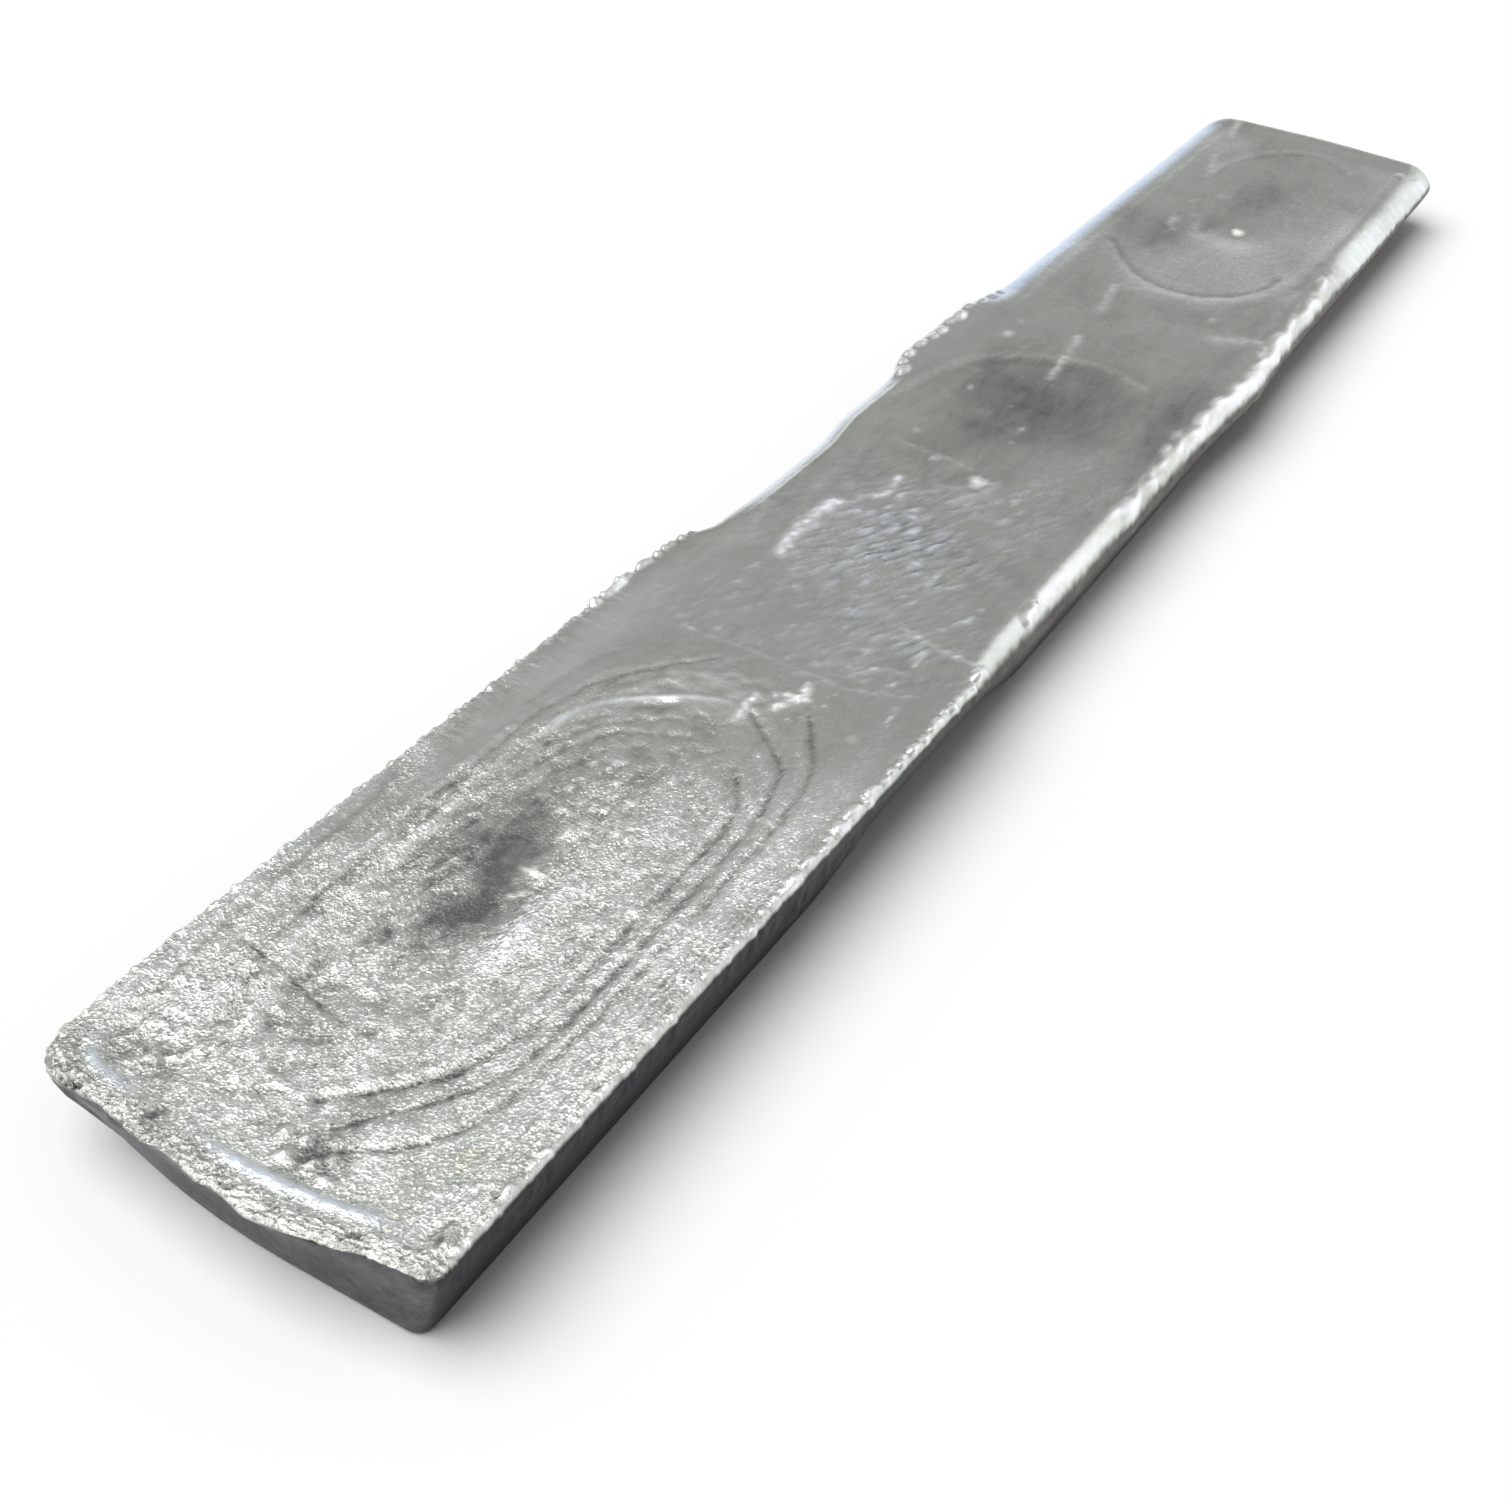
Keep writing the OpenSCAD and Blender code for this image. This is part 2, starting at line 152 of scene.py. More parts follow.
# Lumps and hollows: place, half length, half width, turn in degrees, height and tone
LUMPS = (
    # blisters by the near lip in a moat of painted shadow, and the nodule at the near right corner
    (8, 36, 5.5, 6.5, 0, -0.2, -1),
    (5.6, 33, 2.2, 1.4, 20, 0.7, 0.5),
    (8.4, 31, 1.7, 1.2, 0, 0.6, 0.6),
    (9.4, 34, 1.7, 1.1, 60, 0.6, 0.6),
    (6.4, 36.4, 1.8, 1.2, 0, 0.6, 0.5),
    (8.6, 38, 1.6, 1.1, 40, 0.55, 0.5),
    (5.4, 39, 1.5, 1.1, 0, 0.5, 0.5),
    (10.6, 36.6, 1.2, 0.9, 0, 0.45, 0.5),
    (5.6, 54.6, 4.2, 2.6, 0, -0.5, -0.9),
    (5.6, 54.8, 3.2, 1.8, 0, 1.1, 0.7),
    (5.2, 54.8, 1.8, 0.8, 0, -0.7, -1.2),
    # pits in the near lip, darkened as painted shade
    (0.6, 7.4, 1.3, 0.9, 40, -1.2, -2.6),
    (3, 17.8, 1.4, 0.8, 20, -0.9, -2.6),
    (1, 47, 1, 0.7, 0, -0.8, -2.6),
    # shrink pipe of the near pool and the ridge beside it
    (52, 25, 14, 5, 8, -0.6, -0.3),
    (54, 32.4, 12, 3.4, -2, 0.45, 0.2),
    (62, 22, 9, 5, 5, -0.25, -0.3),
    (70.4, 26.6, 3.4, 1.9, 20, 0.2, 0.8),
    # flats
    (108.4, 48, 1.5, 1, 0, 0.15, 0.3),
    (241, 11, 1.6, 1.2, -20, 0.25, 0.8),
    (247.6, 11, 1.4, 1, -20, 0.18, 0.5),
    (272, 41, 2, 1, -10, 0.14, 0.4),
    # middle pool, with a painted highlight on its raised spot
    (188, 30, 3.2, 2.2, -20, 0.4, 1.5),
    (186, 25, 5, 3.4, 0, -0.3, -0.3),
    (197, 13.5, 1.3, 0.9, -10, 0.2, 0.6),
    (217.4, 14, 1.4, 0.9, -10, 0.2, 0.5),
    (209, 28.4, 1.9, 0.9, -10, 0.2, 0.7),
    (203.5, 29, 1.2, 0.7, 0, 0.12, 0.4),
    (216, 23, 0.9, 0.7, 0, 0.1, 0.4),
    # far pool, with a painted highlight on its raised spot
    (321.5, 28.6, 2.8, 1.7, -10, 0.45, 1.6),
    (319, 22, 8, 3.2, -4, -0.35, -0.35),
    (337, 19, 2.4, 2.2, 0, 0.1, 0.25),
    (373, 48.8, 1.6, 1.2, -20, 0.3, 0.7),
    (374, 53.6, 3.4, 2.2, 0, 0.5, 1.2),
)

# Patches of the open face: place, half length, half width, turn in degrees, tone and crystal
# Their tone is partly the metal's own and partly painted reflection, lighter or darker where the face would
# mirror brighter or darker surroundings
PATCHES = (
    (20, 10, 12, 6, -10, 0.1, 0.3),
    (9, 9, 3.5, 8, 0, -0.45, -0.5),
    (8, 27, 4, 5, 0, 0.3, 0),
    (27, 19, 9, 5, 0, -0.3, -0.1),
    (76, 23, 20, 10, 0, -0.15, -0.05),
    (66, 21, 12, 8, 0, -0.25, -0.35),
    (108, 6, 34, 6, 0, 0.45, 0),
    # painted highlight along the far left rim
    (280, 4.2, 18, 2.8, 0, 1.5, 0),
    (7, 5, 5, 4, 0, -0.3, 0),
    (84, 37, 15, 8, 0, 0.15, 0.15),
    (52, 51.5, 46, 3.5, 0, 0.3, 0.1),
    (46, 36, 20, 7, 0, 0.05, 0.15),
    (74, 5.5, 40, 5, 0, 0.05, -0.6),
    (236, 1.5, 24, 2.6, 0, 0.45, 0),
    (54, 24.2, 13, 4.2, 8, -0.36, -0.45),
    (60, 19, 22, 9, 0, -0.48, -0.32),
    (53, 32.5, 13, 3.6, -3, 0.45, 0.35),
    (92, 24, 14, 9, 0, -0.05, -0.1),
    (88, 52, 20, 4, 0, 0.45, 0.2),
    (126, 28, 14, 20, 0, 0.3, -0.05),
    (150, 28, 12, 20, 0, 0.2, 0.1),
    (160, 22, 16, 10, 0, 0.1, 0.1),
    (178, 44, 24, 9, 0, -0.2, 0.05),
    (205, 20, 26, 11, 0, -0.4, 0),
    (224, 36, 23, 18, 0, -0.6, 0),
    (224, 15, 16, 8, 0, -0.4, 0),
    (200, 42, 10, 6, 0, 0.3, 0),
    (306, 34, 17, 10, 0, 0.2, 0),
    (309, 16, 12, 5, 0, -0.65, 0),
    (342, 27, 13, 7, 0, -0.45, 0),
    (365, 27, 7, 9, 0, -0.2, 0),
    # painted highlights along the right rim
    (163, 55, 26, 2.4, 0, 0.8, 0),
    (245, 56.5, 52, 1.4, 0, 0.6, 0),
    (225, 50.5, 30, 4, 0, -0.65, 0),
)

# Crumbs and smudges strewn on the open face: place, half length and half width of the spread, count,
# half length, half width and turn of each, height, tone and warmth, where a cool film is below zero
STREWN = (
    (18, 10, 11, 6, 150, 2, 0.5, 16, 0.45, 0.2, 0),
    (80, 29, 9, 10, 60, 1, 0.45, 10, 0.2, 0.9, 0),
    (54, 31.5, 11, 3, 60, 1, 0.4, 8, 0.16, 0.7, -0.3),
    (24, 29, 7, 6, 26, 0.7, 0.5, 0, 0.14, 0.3, 0),
    (44, 38, 16, 6, 70, 1.3, 0.4, 6, 0.12, 0.4, 0),
    (44, 16, 14, 6, 60, 1.7, 0.4, 0, 0.12, 0.3, 0),
    (15.5, 48.5, 2, 3, 12, 0.6, 0.5, 0, 0.14, 0.4, 0.6),
    (25, 46, 1, 1, 4, 0.7, 0.6, 0, 0.25, 0.3, 0.4),
    (112, 36, 7, 5, 20, 0.9, 0.5, 0, 0.14, 0.8, 0),
    (90, 52, 10, 2.5, 22, 0.9, 0.4, 0, 0.1, 0.7, 0),
    (162, 25, 15, 10, 24, 1.8, 0.6, 22, 0.12, 0.8, -0.4),
    (150, 42, 8, 8, 14, 2, 0.6, 22, 0.1, 0.8, -0.3),
    (128, 28, 12, 22, 40, 1.6, 0.6, 15, 0.06, 0.3, 0),
    (225, 20, 20, 14, 18, 1.4, 0.9, 0, 0.05, 0.2, 0),
    (320, 15, 14, 4, 10, 2, 1, 0, 0.08, 0.2, 0),
    (119, 39, 12, 9, 26, 1.6, 0.45, 20, 0.08, 0.7, 0),
    (138, 24, 12, 12, 22, 1.9, 0.5, 24, 0.08, 0.6, -0.3),
    (184, 30, 14, 12, 16, 1.9, 0.6, 22, 0.07, 0.5, -0.3),
)
STREW_TURN = 18.0
STREW_SIZES = (0.5, 1.4)
STREW_HEIGHTS = (0.5, 1.3)
STREW_SEED = 19

# Streaks of the skin: place, half length, half width, turn in degrees and amount
FLOWS = (
    (160, 27, 22, 18, 22, 1.8),
    (134, 40, 12, 14, 20, 1.4),
    (127, 16, 12, 12, 10, 0.5),
    (188, 42, 20, 10, 22, 0.5),
)
FLOW_LENGTH = 4.2
FLOW_WIDTH = 1.0
FLOW_OCTAVES = 2
FLOW_REACH = 1.7
FLOW_FALL = 1.2
FLOW_MEAN = 0.7
FLOW_MOST = 1.4
FLOW_HEIGHT = 0.22
FLOW_TONE = 0.7
FLOW_FROST = 0.5
FLOW_COOL = 0.12
FLOW_CREST_COOL = 0.25

# Sloping stretches of the long rims: side, from, to, width, fall over each millimetre of width, tone
# and cool sheen, which paint a highlight and a bluish reflection along the slope
RIM_SLOPES = (
    ("left", 156, 212, 2.2, 0.5, 0.5, 0.5),
    ("left", 254, 381, 5.8, 0.3, 0.2, 1),
    ("right", 314, 380, 4.6, 0.75, 0.2, 0.1),
)
SLOPE_FADE = 8.0
SLOPE_SOFT = 1.0
SLOPE_END = 1.4
SHEEN_FROM = 0.5

# Beads along a long rim: side, from, to, pitch, half length, half width, inset, height and tone
# The beads' bright tone is partly a painted highlight.
BEAD_RUNS = (
    ("left", 6, 118, 1.4, 0.9, 0.7, 0.7, 0.4, 0.6),
    ("left", 116, 143, 2, 1.5, 1, 0.9, 0.75, 0.9),
    ("left", 214, 262, 4, 2.7, 1.5, 1.6, 0.7, 1),
    ("right", 4, 76, 1.3, 0.9, 0.7, 0.7, 0.4, 0.7),
    ("right", 72, 137, 2, 1.5, 0.9, 1, 0.7, 0.9),
    ("right", 152, 158, 1.8, 1.6, 1.2, 1.8, 0.6, 0.7),
    ("right", 190, 302, 6, 4.4, 1.3, 1.9, 0.5, 1),
    ("right", 194, 300, 9, 3.4, 1, 2.9, 0.22, 0.8),
    ("right", 304, 374, 4.4, 1.5, 2.2, 2.4, 0.07, 0.3),
)

# How far the beads of a run differ, as shares of the run's values, and their turn in degrees
BEAD_SIZES = (0.65, 1.35)
BEAD_INSETS = (0.6, 1.4)
BEAD_HEIGHTS = (0.6, 1.2)
BEAD_GAPS = (0.6, 1.4)
BEAD_TURN = 12.0
BEAD_FROST = 0.35
BEAD_SEED = 7

# Short drag marks across the left rim: from, to, pitch, shortest and longest
RIM_NICKS = (70, 122, 1.5, 1.5, 6)
NICK_LEAN = 0.6
NICK_INSET = 0.6
NICK_WIDTH = 0.3
NICK_HEIGHT = 0.05
NICK_TONES = (-0.2, 0.6)
NICK_GAPS = (0.5, 1.5)
NICK_SEED = 31

# Fine drawn lines: where they begin and end along the bar, and in from the right rim
DRAG_BEGIN_X = (5, 10)
DRAG_END_X = (70, 82)
DRAG_BEGIN_W = (0.4, 1.0)
DRAG_END_W = (4.5, 6.5)
DRAG_PITCH = 0.95
DRAG_WANDER = 0.35
DRAG_HEIGHT = 0.05
DRAG_TONE = 0.3

# How lines, lumps and patches wander, break up and fade
LINE_WANDER = 0.35
LINE_REACH = 3
LINE_TAPER = 8.0
LINE_MEAN = 0.8
LINE_BREAK = 0.9
LINE_RANGE = (0.15, 1.5)
LINE_FROST = 0.3
LINE_CRYSTAL = 0.4
CREASE_BREAK = 0.3
RIDGE_BREAK = 0.4
RIDGE_CRYSTAL = -0.6
# Share of a ridge's bright tone that becomes a painted bluish highlight
RIDGE_PAINTED_COOL = 0.5
FROST = 0.6
LUMP_CRINKLE = 0.7
PATCH_REACH = 2.0
PATCH_FALL = 1.5

# Wrinkles around the near pool: its place, half length and half width, and the power of its outline.
# They begin and end at shares of the way out, and are strongest towards the left side
RIPPLED_POOL = (61, 28, 52, 21)
POOL_POWER = 2.6
RIPPLE_REACH = 1.2
RIPPLE_BEGIN = (0.2, 0.5)
RIPPLE_END = (0.95, 1.15)
RIPPLE_LEFT_Y = (34, 22)
RIPPLE_RIGHT = 0.7
RIPPLE_LEFT_MORE = 0.6
RIPPLE_TURNS = 3.5
RIPPLE_RINGS = 11.0
RIPPLE_OCTAVES = 3
RIPPLE_FOLD = (0.45, 1.7)
RIPPLE_HEIGHT = 0.18
RIPPLE_TONE = 0.4

# Lobes and crust of the near lip
LOBE_DEPTH = 0.9
LOBE_INSET = (0.5, 4.0)
LOBE_Z = (9.0, 13.0)
LOBE_Y = (2.0, 8.0)
LIP_GRAIN = 0.85
GRAIN_EDGE = 1.6
CRUST_W = (2.4, 4.0)
CRUST_WANDER = 1.2
CRUST_NZ = (0.0, 0.4)
CRUST_LEAST = 0.01
CRUST_TONE = -0.5
CRUST_GRAIN_TONE = 0.8
CRUST_CRYSTAL = 0.2

# Crystal skin: coarse up to a wandering line across the bar, and fine beyond it
COARSE_X = (52, 122)
COARSE_WANDER = 8
COARSE_CRYSTAL = 0.8
FINE_CRYSTAL = 0.12
PATCHY = 0.5
PATCHY_RANGE = (0.55, 1.4)
CRYSTAL_RANGE = (0.04, 1.2)
CRYSTAL_LEAST = 0.05
CRYSTAL_FOLD = (0.5, 1.6)
CRYSTAL_GRIT = 0.8
CRYSTAL_TONE = 0.3
SWELL_HEIGHT = 0.11
SWELL_TONE = 0.42

# Mould finish of the walls, by the upward share of the normal, and soft waves
MOULD_NZ = (-0.1, 0.3)
MOULD_WANDER = 0.12
# On the right rim the dark wall colour starts higher on the roll, as painted shade that ends the rim's
# highlight sooner
ROLL_W = 8.0
SHADED_ROLL_NZ = 0.4
FAR_ROLL_LESS = 0.1
FAR_ROLL_X = (120, 140)
# The near end face, turned towards the light, is marked for a lighter copy of the wall colour, which is
# painted light
LIT_END_NX = (0.3, 0.6)
LIT_END_DEPTH = 8.0
WALL_WAVE = 0.05
FACE_WAVE = 0.1
FACE_WAVE_TONE = 0.3
FACE_WAVE_X = (105, 140)

# Smooth noises: size, octaves, stretch along the bar, and an offset that sets each apart
NOISES = {
    "wander_x": (2.6, 2, 1, 11),
    "wander_y": (2.6, 2, 1, 23),
    "crinkle_x": (1.7, 2, 1, 53),
    "crinkle_y": (1.7, 2, 1, 61),
    "line_break": (1.2, 2, 1, 37),
    "flow_break": (7, 2, 1, 97),
    "drag": (9, 2, 4, 5),
    "lobes": (6, 2, 4, 71),
    "crust_edge": (3, 2, 1, 0),
    "coarse_edge": (14, 2, 1, 0),
    "patchy": (9, 2, 1.4, 83),
    "swell": (4.2, 3, 1.7, 29),
    "folds": (2.2, 3, 1.5, 0),
    "grit": (1.1, 2, 1.8, 3),
    "mould_edge": (2.4, 2, 1, 41),
    "face_wave": (16, 2, 1.6, 0),
    "wall_wave": (3, 2, 1, 0),
}
NOISE_FALL = 0.8
NOISE_STEP = 2.0

# Which points take part, by the upward share of their normal
FACE_NZ = (0.2, 0.6)
BARE_NZ = (-0.6, -0.2)
LUMP_NZ = 0.3
BEAD_NZ = -0.3

# Copy of the casting, and the parts of it that are cut once more
MERGE_GAP = 1e-6
QUAD_ANGLE = math.radians(60)
SMOOTH_ANGLE = math.radians(75)
FACE_LEVELS = 1
UNDERSIDE_NZ = -0.7
FINE_WALL_Z = 8.0
FINE_TOP_Z = 9.0
FINE_TO_X = 125.0
FINE_RIM_W = 5.0
LONG_EDGE = 2

# Finishes that the metal reads from the mesh, where a cool film is a warmth below zero
# The tone and the warmth also carry painted highlights, painted shade and a painted bluish reflection, and
# end marks the near end face for its painted lighter colour
FINISHES = ("tone", "crystal", "mould", "end", "warm", "frost")

# Clouds of the metal: scale and share
FACE_CLOUDS = (90.0, 0.7)
DRAWN_CLOUDS = (420.0, 0.8)
SPECKS = (1700.0, 0.9)
WALL_CLOUDS = (160.0, 1.6)
FINE_WALL_CLOUDS = (620.0, 1.2)
PITS = (900.0, 3.5)
DRAWN_OUT = (0.35, 1.0, 1.0)

# Roughness and relief of the metal, and how its walls darken
FACE_ROUGH = (0.36, 0.15)
MOULD_ROUGH = 0.15
FROST_ROUGH = 0.55
CRYSTAL_SCALE = 2400.0
FACET_TILT = 0.36
DUST_FINER = 1.7
DUST_SHARE = 1.4
STREAK_SCALE = 1300.0
STREAK_LEAST = 0.25
STREAK_CRYSTAL = 0.6
BUMP_DEPTH = 0.09
FAR_WALL_X = (60, 170)
WALL_DARK = 0.035
WALL_DARK_SHARE = 0.5

# Studio, and the layout of its nodes and the metal's
AMBIENT = 0.27
FILL_COLOR = (1.15, 1.18, 1.2)
FILL_FROM = Vector((0.80, -0.45, 0.40)).normalized()
FILL_CORE = math.radians(5)
FILL_REACH = math.radians(36)
FLOOR_SIZE = 30.0
NODE_GAP = (220, -320)
NODES_IN_ROW = 8


def ramp(low, high, value):
    """A smooth rise from 0 at low to 1 at high."""
    share = np.clip((value - low) / (high - low), 0.0, 1.0)
    return share * share * (3.0 - 2.0 * share)


def band(begin, end, value):
    """A smooth rise to 1 over one stretch and a smooth fall to 0 over another."""
    return ramp(*begin, value) * (1 - ramp(*end, value))


def fractal(places, octaves):
    """Smooth noise at the places, from about -1 to 1."""
    return np.array([
        noise.fractal(place, NOISE_FALL, NOISE_STEP, octaves, noise_basis="PERLIN_NEW") for place in places])


def folded(wave, crest, depth):
    """Sharp crests where a noise passes through zero."""
    return crest - depth * np.abs(wave)


def turned(places, turn):
    """How far the places lie along and across a direction, turned by some degrees from the bar's."""
    turn = math.radians(turn)
    x, y = places.T
    return x * math.cos(turn) + y * math.sin(turn), y * math.cos(turn) - x * math.sin(turn)


def smooth_path(points, steps=8):
    """Points of a smooth curve through the given ones."""
    knots = np.array([points[0], *points, points[-1]], float)
    path = []
    for before, start, stop, after in zip(knots, knots[1:], knots[2:], knots[3:]):
        for t in np.arange(steps) / steps:
            bend = 2 * before - 5 * start + 4 * stop - after
            twist = 3 * start - before - 3 * stop + after
            path.append(start + 0.5 * ((stop - before) * t + bend * t ** 2 + twist * t ** 3))
    return np.array([*path, knots[-1]])


def path_distance(places, path):
    """Distance from each place to the nearest point of a path."""
    nearest = np.full(len(places), np.inf)
    for start, stop in zip(path, path[1:]):
        run = stop - start
        share = np.clip(((places - start) @ run) / (run @ run), 0.0, 1.0)
        gap = np.linalg.norm(places - start - share[:, None] * run, axis=1)
        nearest = np.minimum(nearest, gap)
    return nearest


def edge_line(along, across, pick, pitch=2.0):
    """The outermost place across the bar, as a function of the place along it."""
    bins = np.round(along / pitch).astype(int)
    steps = np.unique(bins)
    edge = np.array([pick(across[bins == step]) for step in steps])
    return lambda place: np.interp(place, steps * pitch, edge)


def read_vectors(parts, field):
    """A field of a mesh's parts, as rows of three."""
    values = np.empty(len(parts) * 3, np.float32)
    parts.foreach_get(field, values)
    return values.reshape(-1, 3).astype(float)


class CastSurface:
    """The casting's points in plan, in millimetres, with the height and finish that the pour gives them, and
    their painted highlights and shade.
    """

    def __init__(self, mesh):
        self.places = read_vectors(mesh.vertices, "co")
        self.normals = read_vectors(mesh.vertex_normals, "vector")
        self.up = self.normals[:, 2]
        self.x = (self.places[:, 0] - NEAR_END_X) / MM
        self.y = (LEFT_SIDE_Y - self.places[:, 1]) / MM
        self.z = self.places[:, 2] / MM
        self.plan = np.column_stack([self.x, self.y])
        self.solid = np.column_stack([self.x, self.y, self.z])
        self.face = ramp(*FACE_NZ, self.up)
        self.bare = ramp(*BARE_NZ, self.up)
        self.left_edge = edge_line(self.x, self.y, np.min)
        self.right_edge = edge_line(self.x, self.y, np.max)
        self.from_left = self.y - self.left_edge(self.x)
        self.from_right = self.right_edge(self.x) - self.y
        self.from_near = self.x - edge_line(self.y, self.x, np.min)(self.y)
        self.height = np.zeros(len(self.x))
        self.finish = {name: np.zeros(len(self.x)) for name in FINISHES}

    def roughen(self):
        """Makes the wander, the crinkle and the breaks of the marks on the open face."""
        wander = [self.speckle(name) for name in ("wander_x", "wander_y")]
        self.wandered = self.plan + LINE_WANDER * np.column_stack(wander)
        crinkle = [self.speckle(name) for name in ("crinkle_x", "crinkle_y")]
        self.crinkled = self.plan + LUMP_CRINKLE * np.column_stack(crinkle)
        self.broken = np.clip(LINE_MEAN + LINE_BREAK * self.speckle("line_break"), *LINE_RANGE)

    def speckle(self, name, chosen=slice(None)):
        """One of the smooth noises at the chosen points."""
        size, octaves, stretch, offset = NOISES[name]
        return fractal(self.solid[chosen] / np.array([size * stretch, size, size]) + offset, octaves)

    def grains(self, size, chosen):
        """Rounded grains of about a size: 1 at the middle of a grain and 0 between grains."""
        nearest = [noise.voronoi(place)[0] for place in self.solid[chosen] / size]
        return np.array([min(1.0, GRAIN_EDGE * (gaps[1] - gaps[0])) for gaps in nearest])

    def mark(self, chosen, profile, height, tone, frost=0.0):
        """Adds a mark's height, tone and frost to the chosen points."""
        self.height[chosen] += height * profile
        self.finish["tone"][chosen] += tone * profile
        self.finish["frost"][chosen] += frost * profile

    def line(self, points, width, height, tone, whole=False, grainy=False):
        """A raised line or a crease along a smooth path on the open face, broken up unless it is whole."""
        path = smooth_path(points)
        reach = LINE_REACH * width
        inside = (self.plan > path.min(0) - reach) & (self.plan < path.max(0) + reach)
        chosen = np.flatnonzero(inside.all(1) & (self.face > 0))
        gap = path_distance((self.plan if whole else self.wandered)[chosen], path)
        profile = np.exp(-(gap / width) ** 2) * self.face[chosen]
        broken = self.broken[chosen]
        bright = max(tone, 0.0)
        if whole:
            for end in (path[0], path[-1]):
                profile *= ramp(0.0, LINE_TAPER, np.linalg.norm(self.plan[chosen] - end, axis=1) + width)
            profile *= 1 - RIDGE_BREAK + RIDGE_BREAK * broken
            self.finish["crystal"][chosen] += RIDGE_CRYSTAL * profile
            # A whole ridge also takes a painted bluish highlight
            self.finish["warm"][chosen] -= RIDGE_PAINTED_COOL * bright * profile
        else:
            profile *= broken if tone > 0 else 1 - CREASE_BREAK + CREASE_BREAK * broken
        if grainy:
            self.finish["crystal"][chosen] += LINE_CRYSTAL * bright * profile
        self.mark(chosen, profile, height, tone, (LINE_FROST if grainy else FROST) * bright)

    def oval(self, x, y, half_length, half_width, turn, reach=1.0, rough=True):
        """Points within an oval on the open face, and how far out each lies as a share of the oval."""
        along, across = turned((self.crinkled if rough else self.plan) - (x, y), turn)
        out = np.hypot(along / half_length, across / half_width)
        chosen = np.flatnonzero((out < reach) & (self.up > (LUMP_NZ if rough else BEAD_NZ)))
        return chosen, out[chosen]

    def lump(self, x, y, half_length, half_width, turn, height, tone, rough=True, frost=FROST):
        """A rounded lump or hollow."""
        chosen, out = self.oval(x, y, half_length, half_width, turn, rough=rough)
        self.mark(chosen, (1 - out ** 2) ** 2, height, tone, frost * max(tone, 0.0))

    def patch(self, x, y, half_length, half_width, turn, tone, crystal):
        """A soft-edged patch of another finish."""
        chosen, out = self.oval(x, y, half_length, half_width, turn, reach=PATCH_REACH)
        profile = np.exp(-(out ** 2) * PATCH_FALL) * self.face[chosen]
        self.finish["tone"][chosen] += tone * profile
        self.finish["crystal"][chosen] += crystal * profile

    def shape(self, mesh):
        """Moves the mesh's points out along their normals and keeps the finish with them."""
        moved = self.places + self.normals * (self.height * self.bare * MM)[:, None]
        mesh.vertices.foreach_set("co", moved.astype(np.float32).ravel())
        for name, values in self.finish.items():
            attribute = mesh.attributes.new(name, "FLOAT", "POINT")
            attribute.data.foreach_set("value", values.astype(np.float32))
        mesh.update()


def add_object(name, data):
    """A new object in the scene."""
    made = bpy.data.objects.new(name, data)
    bpy.context.scene.collection.objects.link(made)
    return made


def copy_casting(name):
    """A merged, four-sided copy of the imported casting."""
    bpy.ops.object.select_all(action="DESELECT")
    piece = add_object(name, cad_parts[NODE].data.copy())
    piece.select_set(True)
    bpy.context.view_layer.objects.active = piece
    piece.data.materials.clear()
    bpy.ops.object.mode_set(mode="EDIT")
    bpy.ops.mesh.select_all(action="SELECT")
    bpy.ops.mesh.remove_doubles(threshold=MERGE_GAP)
    bpy.ops.mesh.tris_convert_to_quads(face_threshold=QUAD_ANGLE, shape_threshold=QUAD_ANGLE)
    bpy.ops.object.mode_set(mode="OBJECT")
    return piece


def pick_faces(mesh, chosen):
    """Selects the chosen faces and nothing else."""
    for parts in (mesh.vertices, mesh.edges, mesh.polygons):
        parts.foreach_set("select", np.zeros(len(parts), bool))
    mesh.polygons.foreach_set("select", chosen)
    bpy.context.tool_settings.mesh_select_mode = (False, False, True)


def halve_picked():
    """Cuts the selected faces or edges in two."""
    bpy.ops.object.mode_set(mode="EDIT")
    bpy.ops.mesh.subdivide(number_cuts=1, smoothness=0.0)
    bpy.ops.object.mode_set(mode="OBJECT")


def refine_casting(piece):
    """Divides the copy finely enough for the relief, most finely on the near part and along the rims."""
    mesh = piece.data
    smooth = piece.modifiers.new("round", "SUBSURF")
    smooth.levels = FACE_LEVELS
    smooth.render_levels = FACE_LEVELS
    bpy.ops.object.modifier_apply(modifier=smooth.name)
    up = np.array([face.normal.z for face in mesh.polygons])
    level = np.array([face.center.z for face in mesh.polygons])
    pick_faces(mesh, (up > UNDERSIDE_NZ) & (level > FINE_WALL_Z * MM))
    halve_picked()
    cut_along(mesh)


def cut_along(mesh):
    """Halves the length of the faces on the near part of the open face and along the long rims."""
    surface = CastSurface(mesh)
    ends = np.empty(len(mesh.edges) * 2, np.int32)
    mesh.edges.foreach_get("vertices", ends)
    ends = ends.reshape(-1, 2)
    run = np.abs(surface.solid[ends[:, 1]] - surface.solid[ends[:, 0]])
    along = run[:, 0] > LONG_EDGE * np.maximum(run[:, 1], run[:, 2])
    near = surface.x[ends].max(1) < FINE_TO_X
    rim = np.minimum(surface.from_left, surface.from_right)[ends].min(1) < FINE_RIM_W
    high = surface.z[ends].min(1) > FINE_TOP_Z
    pick_faces(mesh, np.zeros(len(mesh.polygons), bool))
    mesh.edges.foreach_set("select", along & (near | rim) & high)
    bpy.context.tool_settings.mesh_select_mode = (False, True, False)
    halve_picked()


